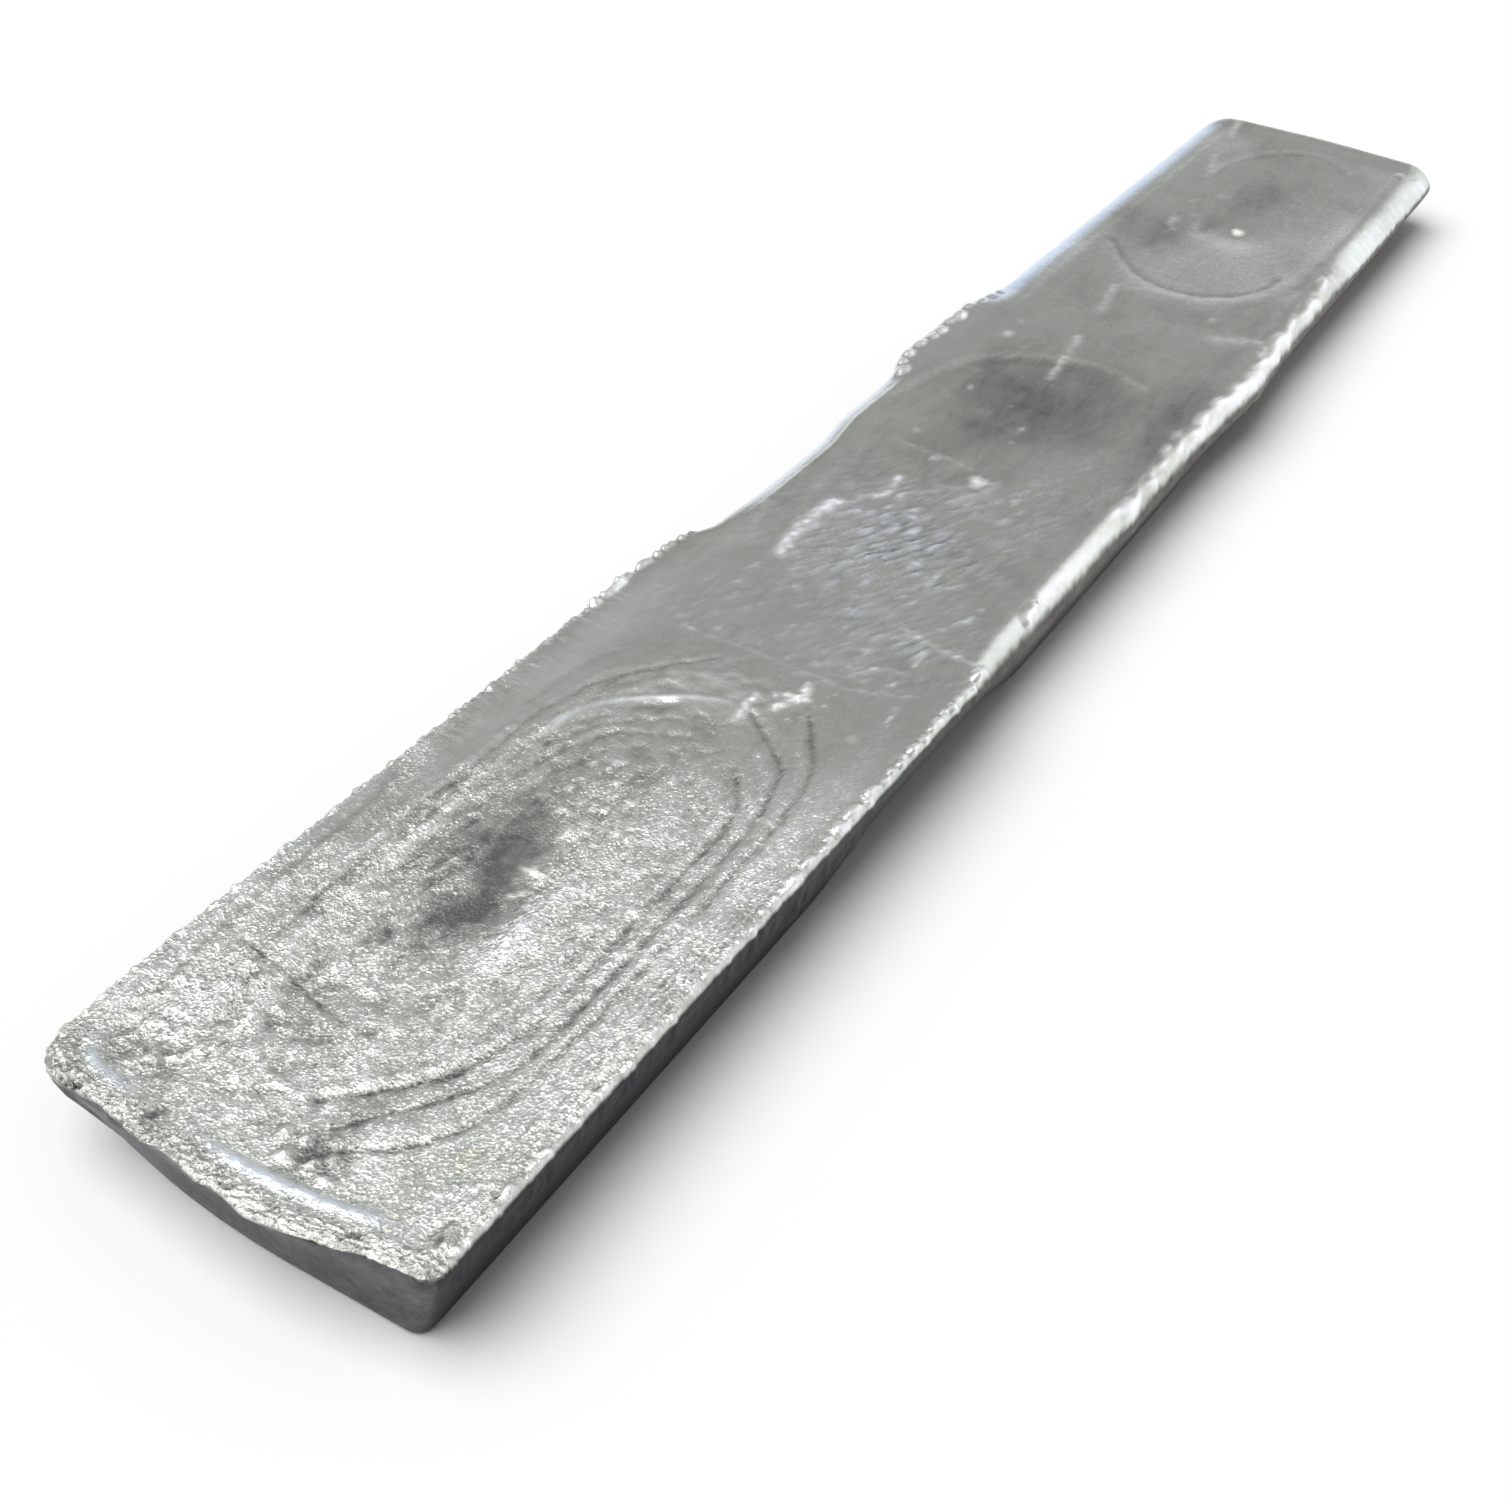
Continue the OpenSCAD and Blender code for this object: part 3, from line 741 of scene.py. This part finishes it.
def slope_rims(surface):
    """Slopes the long rims where the metal drew back from the mould, and paints a highlight and a bluish
    reflection along the slopes.
    """
    for side, start, stop, width, fall, tone, cool in RIM_SLOPES:
        inset = surface.from_left if side == "left" else surface.from_right
        begin, end = ((place - SLOPE_FADE, place + SLOPE_FADE) for place in (start, stop))
        amount = band(begin, end, surface.x)
        over = surface.z - TOP_Z / MM + fall * (width - inset)
        cut = (over + np.sqrt(over ** 2 + SLOPE_SOFT ** 2)) / 2 * (1 - ramp(width, SLOPE_END * width, inset))
        surface.places[:, 2] -= cut * amount * surface.bare * MM
        # Painted highlight and painted bluish reflection along the slope
        sheen = amount * (1 - ramp(SHEEN_FROM * width, width, inset)) * surface.face
        surface.finish["tone"] += tone * sheen
        surface.finish["warm"] -= cool * sheen


def bead_rims(surface, scale):
    """Beads of metal that ran out over the long rims."""
    draw = np.random.default_rng(BEAD_SEED)
    for side, start, stop, pitch, half_length, half_width, inset, height, tone in BEAD_RUNS:
        edge, inward = (surface.left_edge, 1) if side == "left" else (surface.right_edge, -1)
        place = start
        while place < stop:
            size = draw.uniform(*BEAD_SIZES)
            y = edge(place) + inward * inset * draw.uniform(*BEAD_INSETS)
            turn = draw.uniform(-BEAD_TURN, BEAD_TURN)
            bulge = scale * height * size * draw.uniform(*BEAD_HEIGHTS)
            surface.lump(place, y, half_length * size, half_width * size, turn, bulge, tone,
                         rough=False, frost=BEAD_FROST)
            place += pitch * draw.uniform(*BEAD_GAPS)


def ripple_pool(surface):
    """Wrinkles that run around the near pool."""
    x, y, half_length, half_width = RIPPLED_POOL
    along, across = (surface.x - x) / half_length, (surface.y - y) / half_width
    out = (np.abs(along) ** POOL_POWER + np.abs(across) ** POOL_POWER) ** (1 / POOL_POWER)
    chosen = np.flatnonzero((out < RIPPLE_REACH) & (surface.face > 0))
    out = out[chosen]
    turn = np.arctan2(across, along)[chosen]
    places = np.column_stack([RIPPLE_TURNS * np.cos(turn), RIPPLE_TURNS * np.sin(turn), RIPPLE_RINGS * out])
    wave = folded(fractal(places, RIPPLE_OCTAVES), *RIPPLE_FOLD)
    amount = band(RIPPLE_BEGIN, RIPPLE_END, out) * surface.face[chosen]
    amount *= RIPPLE_RIGHT + RIPPLE_LEFT_MORE * ramp(*RIPPLE_LEFT_Y, surface.y[chosen])
    surface.mark(chosen, amount * wave, RIPPLE_HEIGHT, RIPPLE_TONE)


def strew(surface):
    """Crumbs and smudges of metal on the open face."""
    draw = np.random.default_rng(STREW_SEED)
    for x, y, half_length, half_width, count, length, width, turn, height, tone, warm in STREWN:
        strewn = np.zeros(len(surface.x))
        for _ in range(count):
            out, bearing = math.sqrt(draw.uniform()), draw.uniform(0, math.tau)
            size = draw.uniform(*STREW_SIZES)
            chosen, gap = surface.oval(
                x + half_length * out * math.cos(bearing), y + half_width * out * math.sin(bearing),
                length * size, width * size, turn + draw.uniform(-STREW_TURN, STREW_TURN))
            crumb = draw.uniform(*STREW_HEIGHTS) * (1 - gap ** 2) ** 2
            strewn[chosen] = np.maximum(strewn[chosen], crumb)
        surface.mark(slice(None), strewn, height, tone, FROST * tone)
        surface.finish["warm"] += warm * strewn


def flow_skin(surface):
    """Streaks where the skin flowed as it froze."""
    for x, y, half_length, half_width, turn, amount in FLOWS:
        chosen, out = surface.oval(x, y, half_length, half_width, 0, reach=FLOW_REACH)
        along, across = turned(surface.plan[chosen] - (x, y), turn)
        places = np.column_stack([along / FLOW_LENGTH, across / FLOW_WIDTH, np.full(len(along), x)])
        wave = fractal(places, FLOW_OCTAVES)
        share = amount * np.exp(-FLOW_FALL * out ** 2) * surface.face[chosen]
        share *= np.clip(FLOW_MEAN + surface.speckle("flow_break", chosen), 0.0, FLOW_MOST)
        surface.mark(chosen, share * wave, FLOW_HEIGHT, FLOW_TONE)
        crest = share * np.clip(wave, 0.0, None)
        surface.finish["frost"][chosen] += FLOW_FROST * crest
        surface.finish["warm"][chosen] -= FLOW_COOL * share + FLOW_CREST_COOL * crest


def nick_rim(surface):
    """Short drag marks across the left rim."""
    draw = np.random.default_rng(NICK_SEED)
    start, stop, pitch, shortest, longest = RIM_NICKS
    place = start
    while place < stop:
        edge = surface.left_edge(place)
        reach = draw.uniform(shortest, longest)
        lean = draw.uniform(-NICK_LEAN, NICK_LEAN)
        path = ((place, edge + NICK_INSET), (place + lean, edge + reach))
        height = NICK_HEIGHT * draw.uniform(-1, 1)
        surface.line(path, NICK_WIDTH, height, draw.uniform(*NICK_TONES))
        place += pitch * draw.uniform(*NICK_GAPS)


def drag_rim(surface):
    """Fine drawn lines along the right rim of the near part."""
    along = band(DRAG_BEGIN_X, DRAG_END_X, surface.x)
    across = band(DRAG_BEGIN_W, DRAG_END_W, surface.from_right)
    inset = surface.from_right + DRAG_WANDER * surface.speckle("drag")
    wave = np.sin(math.tau * inset / DRAG_PITCH) * along * across * surface.face
    surface.mark(slice(None), wave, DRAG_HEIGHT, DRAG_TONE)


def lobe_lip(surface):
    """The uneven front of the near lip."""
    amount = (1 - ramp(*LOBE_INSET, surface.from_near)) * ramp(*LOBE_Z, surface.z) * ramp(*LOBE_Y, surface.y)
    surface.places[:, 0] += LOBE_DEPTH * surface.speckle("lobes") * amount * MM


def crust_lip(surface, height):
    """The granular crust on the lip of the near end."""
    lip = 1 - ramp(*CRUST_W, surface.from_near + CRUST_WANDER * surface.speckle("crust_edge"))
    lip *= ramp(*CRUST_NZ, surface.up)
    chosen = np.flatnonzero(lip > CRUST_LEAST)
    lip = lip[chosen]
    surface.mark(chosen, surface.grains(LIP_GRAIN, chosen) * lip, height, CRUST_GRAIN_TONE)
    surface.finish["tone"][chosen] += CRUST_TONE * lip
    surface.finish["crystal"][chosen] += CRUST_CRYSTAL * lip


def grow_crystals(surface, height):
    """The crystal skin of the open face, coarse on the near pool and fine beyond it."""
    coarse = 1 - ramp(*COARSE_X, surface.x + COARSE_WANDER * surface.speckle("coarse_edge"))
    patchy = np.clip(1 + PATCHY * surface.speckle("patchy"), *PATCHY_RANGE)
    grown = surface.finish["crystal"] + surface.face * (FINE_CRYSTAL + COARSE_CRYSTAL * coarse * patchy)
    surface.finish["crystal"] = np.clip(grown, *CRYSTAL_RANGE)
    swell = surface.speckle("swell") * surface.face * coarse
    surface.mark(slice(None), swell, SWELL_HEIGHT, SWELL_TONE)
    amount = surface.face * surface.finish["crystal"]
    chosen = np.flatnonzero(amount > CRYSTAL_LEAST)
    relief = folded(surface.speckle("folds", chosen), *CRYSTAL_FOLD)
    relief += CRYSTAL_GRIT * surface.speckle("grit", chosen)
    surface.mark(chosen, amount[chosen] * relief, height, CRYSTAL_TONE)


def side_finish(surface):
    """The mould's finish on the walls and the underside, with painted shade on the right rim's roll and a
    painted lighter end face, and soft waves on the open face.
    """
    up = surface.up + MOULD_WANDER * surface.speckle("mould_edge")
    # On the right rim the dark wall colour reaches further up the roll, painted shade that ends the rim's
    # highlight sooner
    shaded_roll = (SHADED_ROLL_NZ - FAR_ROLL_LESS * ramp(*FAR_ROLL_X, surface.x)) * (surface.from_right < ROLL_W)
    surface.finish["mould"] += 1 - ramp(*MOULD_NZ, up - shaded_roll)
    # Marks the near end face for its lighter copy of the wall colour, painted light
    surface.finish["end"] += ramp(*LIT_END_NX, -surface.normals[:, 0]) * (surface.from_near < LIT_END_DEPTH)
    wave = surface.speckle("face_wave") * surface.face
    surface.height += FACE_WAVE * wave
    surface.finish["tone"] += FACE_WAVE_TONE * wave * ramp(*FACE_WAVE_X, surface.x)
    surface.height += WALL_WAVE * surface.speckle("wall_wave") * (1 - surface.face)


# What every colour setting shares
COLOR = dict(subtype="COLOR", size=3, min=0.0, max=1.0)


class CastingSettings(bpy.types.PropertyGroup):
    """Sizes and colours of the casting."""

    bead_scale: bpy.props.FloatProperty(
        name="Bead height", description="Height of the rim beads against those of the pour",
        default=1.0, min=0.0)
    lip_height: bpy.props.FloatProperty(
        name="Lip grain", description="Height of the grains on the near lip", unit="LENGTH",
        default=0.40 * MM)
    crystal_height: bpy.props.FloatProperty(
        name="Crystal height", description="Height of the crystal skin", unit="LENGTH",
        default=0.095 * MM)
    # The dull colour is partly oxide and partly painted shade in creases, pits and hollows and round the
    # blisters
    dull_and_shade_color: bpy.props.FloatVectorProperty(
        name="Dull metal", description="Colour of oxide in creases and hollows",
        default=(0.20, 0.205, 0.195), **COLOR)
    metal_color: bpy.props.FloatVectorProperty(
        name="Metal", description="Colour of the open face", default=(0.655, 0.67, 0.62), **COLOR)
    # The bright colour is partly the metal's own and partly a painted highlight on ridges, beads and rims
    bright_color: bpy.props.FloatVectorProperty(
        name="Bright metal", description="Colour of ridges, beads and scratches",
        default=(0.93, 0.94, 0.94), **COLOR)
    # The cool colour is partly a real bluish film on smears and partly a painted bluish reflection on rims
    # and ridges
    cool_color: bpy.props.FloatVectorProperty(
        name="Cool film", description="Colour of the bluish sheen on ridges and smears",
        default=(0.74, 0.85, 1.0), **COLOR)
    warm_color: bpy.props.FloatVectorProperty(
        name="Warm film", description="Colour of the thin straw-coloured film",
        default=(0.80, 0.70, 0.45), **COLOR)
    near_side_color: bpy.props.FloatVectorProperty(
        name="Near sides", description="Colour of the mould side at the near end",
        default=(0.026, 0.030, 0.036), **COLOR)
    far_side_color: bpy.props.FloatVectorProperty(
        name="Far sides", description="Colour of the mould side at the far end",
        default=(0.20, 0.19, 0.16), **COLOR)
    # A lighter copy of the wall colour for the near end face, painted light because that face is turned to
    # the light
    lit_end_color: bpy.props.FloatVectorProperty(
        name="End face", description="Colour of the mould side on the near end face",
        default=(0.155, 0.165, 0.17), **COLOR)


class StudioSettings(bpy.types.PropertyGroup):
    """Camera, light and floor."""

    camera_place: bpy.props.FloatVectorProperty(
        name="Camera", description="Place of the camera", subtype="TRANSLATION", unit="LENGTH",
        size=3, default=(-0.29712, -0.11870, 0.18698))
    camera_forward: bpy.props.FloatVectorProperty(
        name="View", description="Direction that the camera looks in", subtype="DIRECTION",
        size=3, default=(0.7063, 0.3730, -0.6016))
    camera_roll: bpy.props.FloatProperty(
        name="Roll", description="Turn of the camera about its view", unit="ROTATION",
        default=math.radians(4.26))
    camera_lens: bpy.props.FloatProperty(
        name="Lens", description="Focal length", unit="CAMERA", default=49.67)
    key_strength: bpy.props.FloatProperty(
        name="Key light", description="Strength of the soft key light", default=2.85, min=0.0)
    key_spread: bpy.props.FloatProperty(
        name="Key spread", description="Width of the key light as seen from the ingot", unit="ROTATION",
        default=math.radians(60))
    key_azimuth: bpy.props.FloatProperty(
        name="Key azimuth", description="Direction of the key light, from the far end towards the left side",
        unit="ROTATION", default=math.radians(140))
    key_elevation: bpy.props.FloatProperty(
        name="Key elevation", description="Height of the key light above the floor", unit="ROTATION",
        default=math.radians(64))
    floor_color: bpy.props.FloatVectorProperty(
        name="Floor", description="Colour of the floor", default=(0.93, 0.93, 0.93), **COLOR)


class NodeBench:
    """Adds nodes to a tree in reading order and links them."""

    def __init__(self, tree):
        self.tree = tree
        tree.nodes.clear()
        self.count = 0

    def add(self, kind, inputs=None, **settings):
        """A node with its settings, whose inputs are values or other nodes' outputs."""
        made = self.tree.nodes.new(kind)
        row, column = divmod(self.count, NODES_IN_ROW)
        made.location = (NODE_GAP[0] * column, NODE_GAP[1] * row)
        self.count += 1
        for name, value in settings.items():
            setattr(made, name, value)
        for name, value in (inputs or {}).items():
            self.feed(made.inputs[name], value)
        return made

    def feed(self, socket, value):
        """Links an output to a socket, or sets the socket's value."""
        if isinstance(value, bpy.types.NodeSocket):
            self.tree.links.new(value, socket)
        else:
            socket.default_value = value

    def math(self, operation, first, second=0.0, third=0.0, clamp=False):
        """The result of one sum."""
        inputs = {0: first, 1: second, 2: third}
        return self.add("ShaderNodeMath", inputs, operation=operation, use_clamp=clamp).outputs["Value"]

    def share(self, value, clamp=False):
        """A value from -1 to 1 as a share from 0 to 1."""
        return self.math("MULTIPLY_ADD", value, 0.5, 0.5, clamp=clamp)

    def vector(self, operation, inputs, output="Vector"):
        """The result of one sum of vectors."""
        return self.add("ShaderNodeVectorMath", inputs, operation=operation).outputs[output]

    def mix(self, share, first, second):
        """A colour between two others."""
        made = self.add("ShaderNodeMix", data_type="RGBA", clamp_factor=True)
        self.feed(made.inputs["Factor"], share)
        for name, value in (("A", first), ("B", second)):
            socket = next(s for s in made.inputs if s.name == name and s.type == "RGBA")
            self.feed(socket, value)
        return next(s for s in made.outputs if s.type == "RGBA")

    def stops(self, share, stops):
        """A colour ramp through stops of place and colour."""
        made = self.add("ShaderNodeValToRGB", {"Fac": share})
        ladder = made.color_ramp.elements
        while len(ladder) < len(stops):
            ladder.new(1.0)
        for step, (place, color) in zip(ladder, stops):
            step.position = place
            step.color = color
        return made.outputs["Color"]


def solid(color):
    """A colour with its alpha."""
    return (*color, 1.0)


def grey(level):
    """A neutral colour."""
    return solid((level, level, level))


# Sky that the metal mirrors: height, from 0 straight down to 1 straight up, and colour
SKY = (
    (0.0, grey(1.0)),
    (0.56, solid((0.93, 0.97, 1.0))),
    (0.604, solid((0.74, 0.76, 0.78))),
    (0.638, grey(0.50)),
    (0.671, grey(0.37)),
    (0.711, grey(0.33)),
    (0.742, grey(0.32)),
    (0.772, grey(0.42)),
    (0.808, grey(0.43)),
    (0.847, grey(0.48)),
    (0.883, grey(0.56)),
    (1.0, grey(0.60)),
)


def clear_bench(owner):
    """The bench of a material or a world, with its nodes cleared."""
    owner.use_nodes = True
    return NodeBench(owner.node_tree)


def new_group(name, output, output_kind="NodeSocketFloat", values=("Scale",)):
    """A shader group that takes a place and some values, with its bench and the sockets of its inputs."""
    tree = bpy.data.node_groups.new(name, "ShaderNodeTree")
    bench = NodeBench(tree)
    tree.interface.new_socket("Vector", in_out="INPUT", socket_type="NodeSocketVector")
    for label in values:
        tree.interface.new_socket(label, in_out="INPUT", socket_type="NodeSocketFloat")
    tree.interface.new_socket(output, in_out="OUTPUT", socket_type=output_kind)
    return tree, bench, bench.add("NodeGroupInput").outputs


def crystal_group():
    """Heights of a crystal skin: broken grains with finer grains on them."""
    tree, bench, given = new_group("crystal skin", "Height")
    place, scale = given["Vector"], given["Scale"]
    grains = bench.add("ShaderNodeTexVoronoi", {"Vector": place, "Scale": scale}, feature="F1")
    finer = bench.math("MULTIPLY", scale, DUST_FINER)
    dust = bench.add("ShaderNodeTexNoise", {
        "Vector": place, "Scale": finer, "Detail": 3.0, "Roughness": 0.65})
    height = bench.math("MULTIPLY_ADD", dust.outputs["Fac"], DUST_SHARE, grains.outputs["Distance"])
    bench.add("NodeGroupOutput", {"Height": height})
    return tree


def mottle_group():
    """A mask of cloudy oxide, about zero."""
    tree, bench, given = new_group("oxide mottle", "Mask")
    clouds = bench.add("ShaderNodeTexNoise", {
        "Vector": given["Vector"], "Scale": given["Scale"],
        "Detail": 5.0, "Roughness": 0.6, "Distortion": 0.6})
    bench.add("NodeGroupOutput", {"Mask": bench.math("SUBTRACT", clouds.outputs["Fac"], 0.5)})
    return tree


def facet_group():
    """Normals of small crystal facets, each with its own tilt."""
    tree, bench, given = new_group("crystal facets", "Normal", "NodeSocketVector", ("Scale", "Tilt"))
    cells = bench.add("ShaderNodeTexVoronoi", {
        "Vector": given["Vector"], "Scale": given["Scale"]}, feature="F1")
    lean = bench.vector("SUBTRACT", {0: cells.outputs["Color"], 1: (0.5, 0.5, 0.5)})
    lean = bench.vector("SCALE", {0: lean, "Scale": given["Tilt"]})
    flat = bench.add("ShaderNodeNewGeometry").outputs["Normal"]
    leaned = bench.vector("ADD", {0: flat, 1: lean})
    bench.add("NodeGroupOutput", {"Normal": bench.vector("NORMALIZE", {0: leaned})})
    return tree


def cast_metal(settings):
    """White metal with a crystal skin and painted highlights and shade on its open face, and a dark mould
    finish on its sides.
    """
    material = bpy.data.materials.new("cast_white_metal")
    bench = clear_bench(material)
    place = bench.add("ShaderNodeTexCoord").outputs["Object"]
    finish = {name: bench.add("ShaderNodeAttribute", attribute_name=name).outputs["Fac"] for name in FINISHES}
    drawn = bench.vector("MULTIPLY", {0: place, 1: DRAWN_OUT})
    skin, mottle, facets = crystal_group(), mottle_group(), facet_group()

    def grouped(tree, scale, output, vector=place, **values):
        """One output of a group at a scale."""
        inputs = {"Vector": vector, "Scale": scale, **values}
        return bench.add("ShaderNodeGroup", inputs, node_tree=tree).outputs[output]

    def clouded(value, clouds, vector=place, mask=None, clamp=False):
        """A value with clouds added to it, under a mask if there is one."""
        scale, share = clouds
        added = grouped(mottle, scale, "Mask", vector)
        if mask is not None:
            added = bench.math("MULTIPLY", added, mask)
        return bench.math("MULTIPLY_ADD", added, share, value, clamp=clamp)

    # Colour of the open face, then of the walls
    tone = clouded(finish["tone"], FACE_CLOUDS)
    tone = clouded(tone, DRAWN_CLOUDS, drawn)
    tone = clouded(tone, SPECKS, mask=finish["crystal"])
    share = bench.share(tone, clamp=True)
    tones = (settings.dull_and_shade_color, settings.metal_color, settings.bright_color)
    face_color = bench.stops(share, [(stop, solid(color)) for stop, color in zip((0.0, 0.5, 1.0), tones)])
    face_color = bench.mix(finish["warm"], face_color, solid(settings.warm_color))
    # The cool film is partly a real bluish film on smears and partly a painted bluish reflection on rims and
    # ridges
    cool = bench.math("MULTIPLY", finish["warm"], -1.0, clamp=True)
    face_color = bench.mix(cool, face_color, solid(settings.cool_color))
    along = bench.add("ShaderNodeSeparateXYZ", {"Vector": place}).outputs["X"]
    start, stop = (NEAR_END_X + x * MM for x in FAR_WALL_X)
    far = bench.add("ShaderNodeMapRange", {"Value": along, "From Min": start, "From Max": stop})
    side_colors = (solid(settings.near_side_color), solid(settings.far_side_color))
    side_color = bench.mix(far.outputs["Result"], *side_colors)
    # The near end face takes the lighter copy of the wall colour, painted light
    side_color = bench.mix(finish["end"], side_color, solid(settings.lit_end_color))
    dark = clouded(clouded(WALL_DARK_SHARE, WALL_CLOUDS), FINE_WALL_CLOUDS, clamp=True)
    side_color = bench.mix(dark, side_color, grey(WALL_DARK))
    color = bench.mix(finish["mould"], face_color, side_color)

    # Roughness
    dull_rough, bright_rough = FACE_ROUGH
    rough = bench.add("ShaderNodeMapRange", {"Value": share, "To Min": dull_rough, "To Max": bright_rough})
    rough = bench.math("MULTIPLY_ADD", finish["mould"], MOULD_ROUGH, rough.outputs["Result"])
    rough = bench.math("MULTIPLY_ADD", finish["frost"], FROST_ROUGH, rough, clamp=True)

    # Relief too fine for the mesh
    grain = bench.math("MULTIPLY", grouped(skin, CRYSTAL_SCALE, "Height"), finish["crystal"])
    streaked = bench.math("MULTIPLY_ADD", finish["crystal"], STREAK_CRYSTAL, STREAK_LEAST)
    streaks = bench.math("MULTIPLY", grouped(mottle, STREAK_SCALE, "Mask", drawn), streaked)
    height = clouded(bench.math("ADD", streaks, grain), PITS, mask=finish["mould"])
    tilt = bench.math("MULTIPLY", finish["crystal"], FACET_TILT)
    bump = bench.add("ShaderNodeBump", {
        "Height": height, "Distance": BUMP_DEPTH * MM, "Strength": 1.0,
        "Normal": grouped(facets, CRYSTAL_SCALE, "Normal", Tilt=tilt)})
    metal = bench.add("ShaderNodeBsdfPrincipled", {
        "Base Color": color, "Roughness": rough, "Metallic": 1.0, "Normal": bump.outputs["Normal"]})
    bench.add("ShaderNodeOutputMaterial", {"Surface": metal.outputs["BSDF"]})
    return material


class INGOT_OT_casting(bpy.types.Operator):
    """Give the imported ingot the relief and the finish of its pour"""

    bl_idname = "ingot.casting"
    bl_label = "Casting"

    def execute(self, context):
        settings = context.scene.ingot_casting
        piece = copy_casting("ingot_casting")
        refine_casting(piece)
        surface = CastSurface(piece.data)
        surface.roughen()
        slope_rims(surface)
        lobe_lip(surface)
        for patch in PATCHES:
            surface.patch(*patch)
        for line in FREEZE_LINES:
            surface.line(*line, grainy=True)
        for line in SKIN_MARKS:
            surface.line(*line)
        for ridge in SMOOTH_RIDGES:
            surface.line(*ridge, whole=True)
        for lump in LUMPS:
            surface.lump(*lump)
        ripple_pool(surface)
        flow_skin(surface)
        strew(surface)
        nick_rim(surface)
        drag_rim(surface)
        bead_rims(surface, settings.bead_scale)
        crust_lip(surface, settings.lip_height / MM)
        grow_crystals(surface, settings.crystal_height / MM)
        side_finish(surface)
        surface.shape(piece.data)
        piece.data.materials.append(cast_metal(settings))
        bpy.ops.object.shade_smooth_by_angle(angle=SMOOTH_ANGLE)
        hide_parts(NODE)
        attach(piece, BODY)
        return {"FINISHED"}


def add_camera(studio):
    """The camera at the photograph's place."""
    data = bpy.data.cameras.new("camera")
    data.lens = studio.camera_lens
    camera = add_object("camera", data)
    look = Vector(studio.camera_forward).to_track_quat("-Z", "Y").to_matrix().to_4x4()
    roll = Matrix.Rotation(studio.camera_roll, 4, "Z")
    camera.matrix_world = Matrix.Translation(studio.camera_place) @ look @ roll
    bpy.context.scene.camera = camera


def add_key_light(studio):
    """A wide soft key light, far above the left side."""
    data = bpy.data.lights.new("key", "SUN")
    data.energy = studio.key_strength
    data.angle = studio.key_spread
    azimuth, elevation = studio.key_azimuth, studio.key_elevation
    level = math.cos(elevation)
    source = Vector((level * math.cos(azimuth), level * math.sin(azimuth), math.sin(elevation)))
    add_object("key", data).rotation_euler = source.to_track_quat("Z", "Y").to_euler()


def add_surroundings():
    """A white horizon and a soft fill under a greyer ceiling, dim for what isn't seen in a reflection."""
    world = bpy.data.worlds.new("studio")
    bench = clear_bench(world)
    direction = bench.add("ShaderNodeTexCoord").outputs["Generated"]
    height = bench.add("ShaderNodeSeparateXYZ", {"Vector": direction}).outputs["Z"]
    sky = bench.stops(bench.share(height), SKY)
    fill = bench.add("ShaderNodeMapRange", {
        "Value": bench.vector("DOT_PRODUCT", {0: direction, 1: FILL_FROM}, "Value"),
        "From Min": math.cos(FILL_REACH), "From Max": math.cos(FILL_CORE)}, interpolation_type="SMOOTHSTEP")
    sky = bench.mix(fill.outputs["Result"], sky, solid(FILL_COLOR))
    path = bench.add("ShaderNodeLightPath")
    mirrored = bench.math("MAXIMUM", path.outputs["Is Glossy Ray"], path.outputs["Is Transmission Ray"])
    color = bench.mix(mirrored, grey(AMBIENT), sky)
    color = bench.mix(path.outputs["Is Camera Ray"], color, grey(1.0))
    light = bench.add("ShaderNodeBackground", {"Color": color, "Strength": 1.0})
    bench.add("ShaderNodeOutputWorld", {"Surface": light.outputs["Background"]})
    bpy.context.scene.world = world


def add_floor(studio):
    """A plain pale floor."""
    bpy.ops.object.select_all(action="DESELECT")
    bpy.ops.mesh.primitive_plane_add(size=FLOOR_SIZE, location=(0, 0, NODE_LOW.z))
    floor = bpy.context.active_object
    floor.name = "floor"
    material = bpy.data.materials.new("pale_floor")
    bench = clear_bench(material)
    paint = bench.add("ShaderNodeBsdfDiffuse", {"Color": solid(studio.floor_color)})
    bench.add("ShaderNodeOutputMaterial", {"Surface": paint.outputs["BSDF"]})
    floor.data.materials.append(material)


class INGOT_OT_stage(bpy.types.Operator):
    """Set up the floor, the light and the camera"""

    bl_idname = "ingot.stage"
    bl_label = "Stage"

    def execute(self, context):
        studio = context.scene.ingot_studio
        add_camera(studio)
        add_key_light(studio)
        add_surroundings()
        add_floor(studio)
        context.scene.view_settings.view_transform = "Standard"
        return {"FINISHED"}


class INGOT_PT_sidebar(bpy.types.Panel):
    """The ingot's settings and operators"""

    bl_idname = "INGOT_PT_sidebar"
    bl_label = "Cast ingot"
    bl_space_type = "VIEW_3D"
    bl_region_type = "UI"
    bl_category = "Ingot"

    def draw(self, context):
        for group in (context.scene.ingot_casting, context.scene.ingot_studio):
            box = self.layout.box()
            for name in group.__annotations__:
                box.prop(group, name)
        for operator in OPERATORS:
            self.layout.operator(operator.bl_idname)


OPERATORS = (INGOT_OT_casting, INGOT_OT_stage)
CLASSES = (CastingSettings, StudioSettings, *OPERATORS, INGOT_PT_sidebar)


def register():
    for made in CLASSES:
        bpy.utils.register_class(made)
    bpy.types.Scene.ingot_casting = bpy.props.PointerProperty(type=CastingSettings)
    bpy.types.Scene.ingot_studio = bpy.props.PointerProperty(type=StudioSettings)


def unregister():
    del bpy.types.Scene.ingot_studio
    del bpy.types.Scene.ingot_casting
    for made in reversed(CLASSES):
        bpy.utils.unregister_class(made)


def main():
    register()
    bpy.ops.ingot.casting()
    bpy.ops.ingot.stage()


if __name__ == "__main__":
    main()
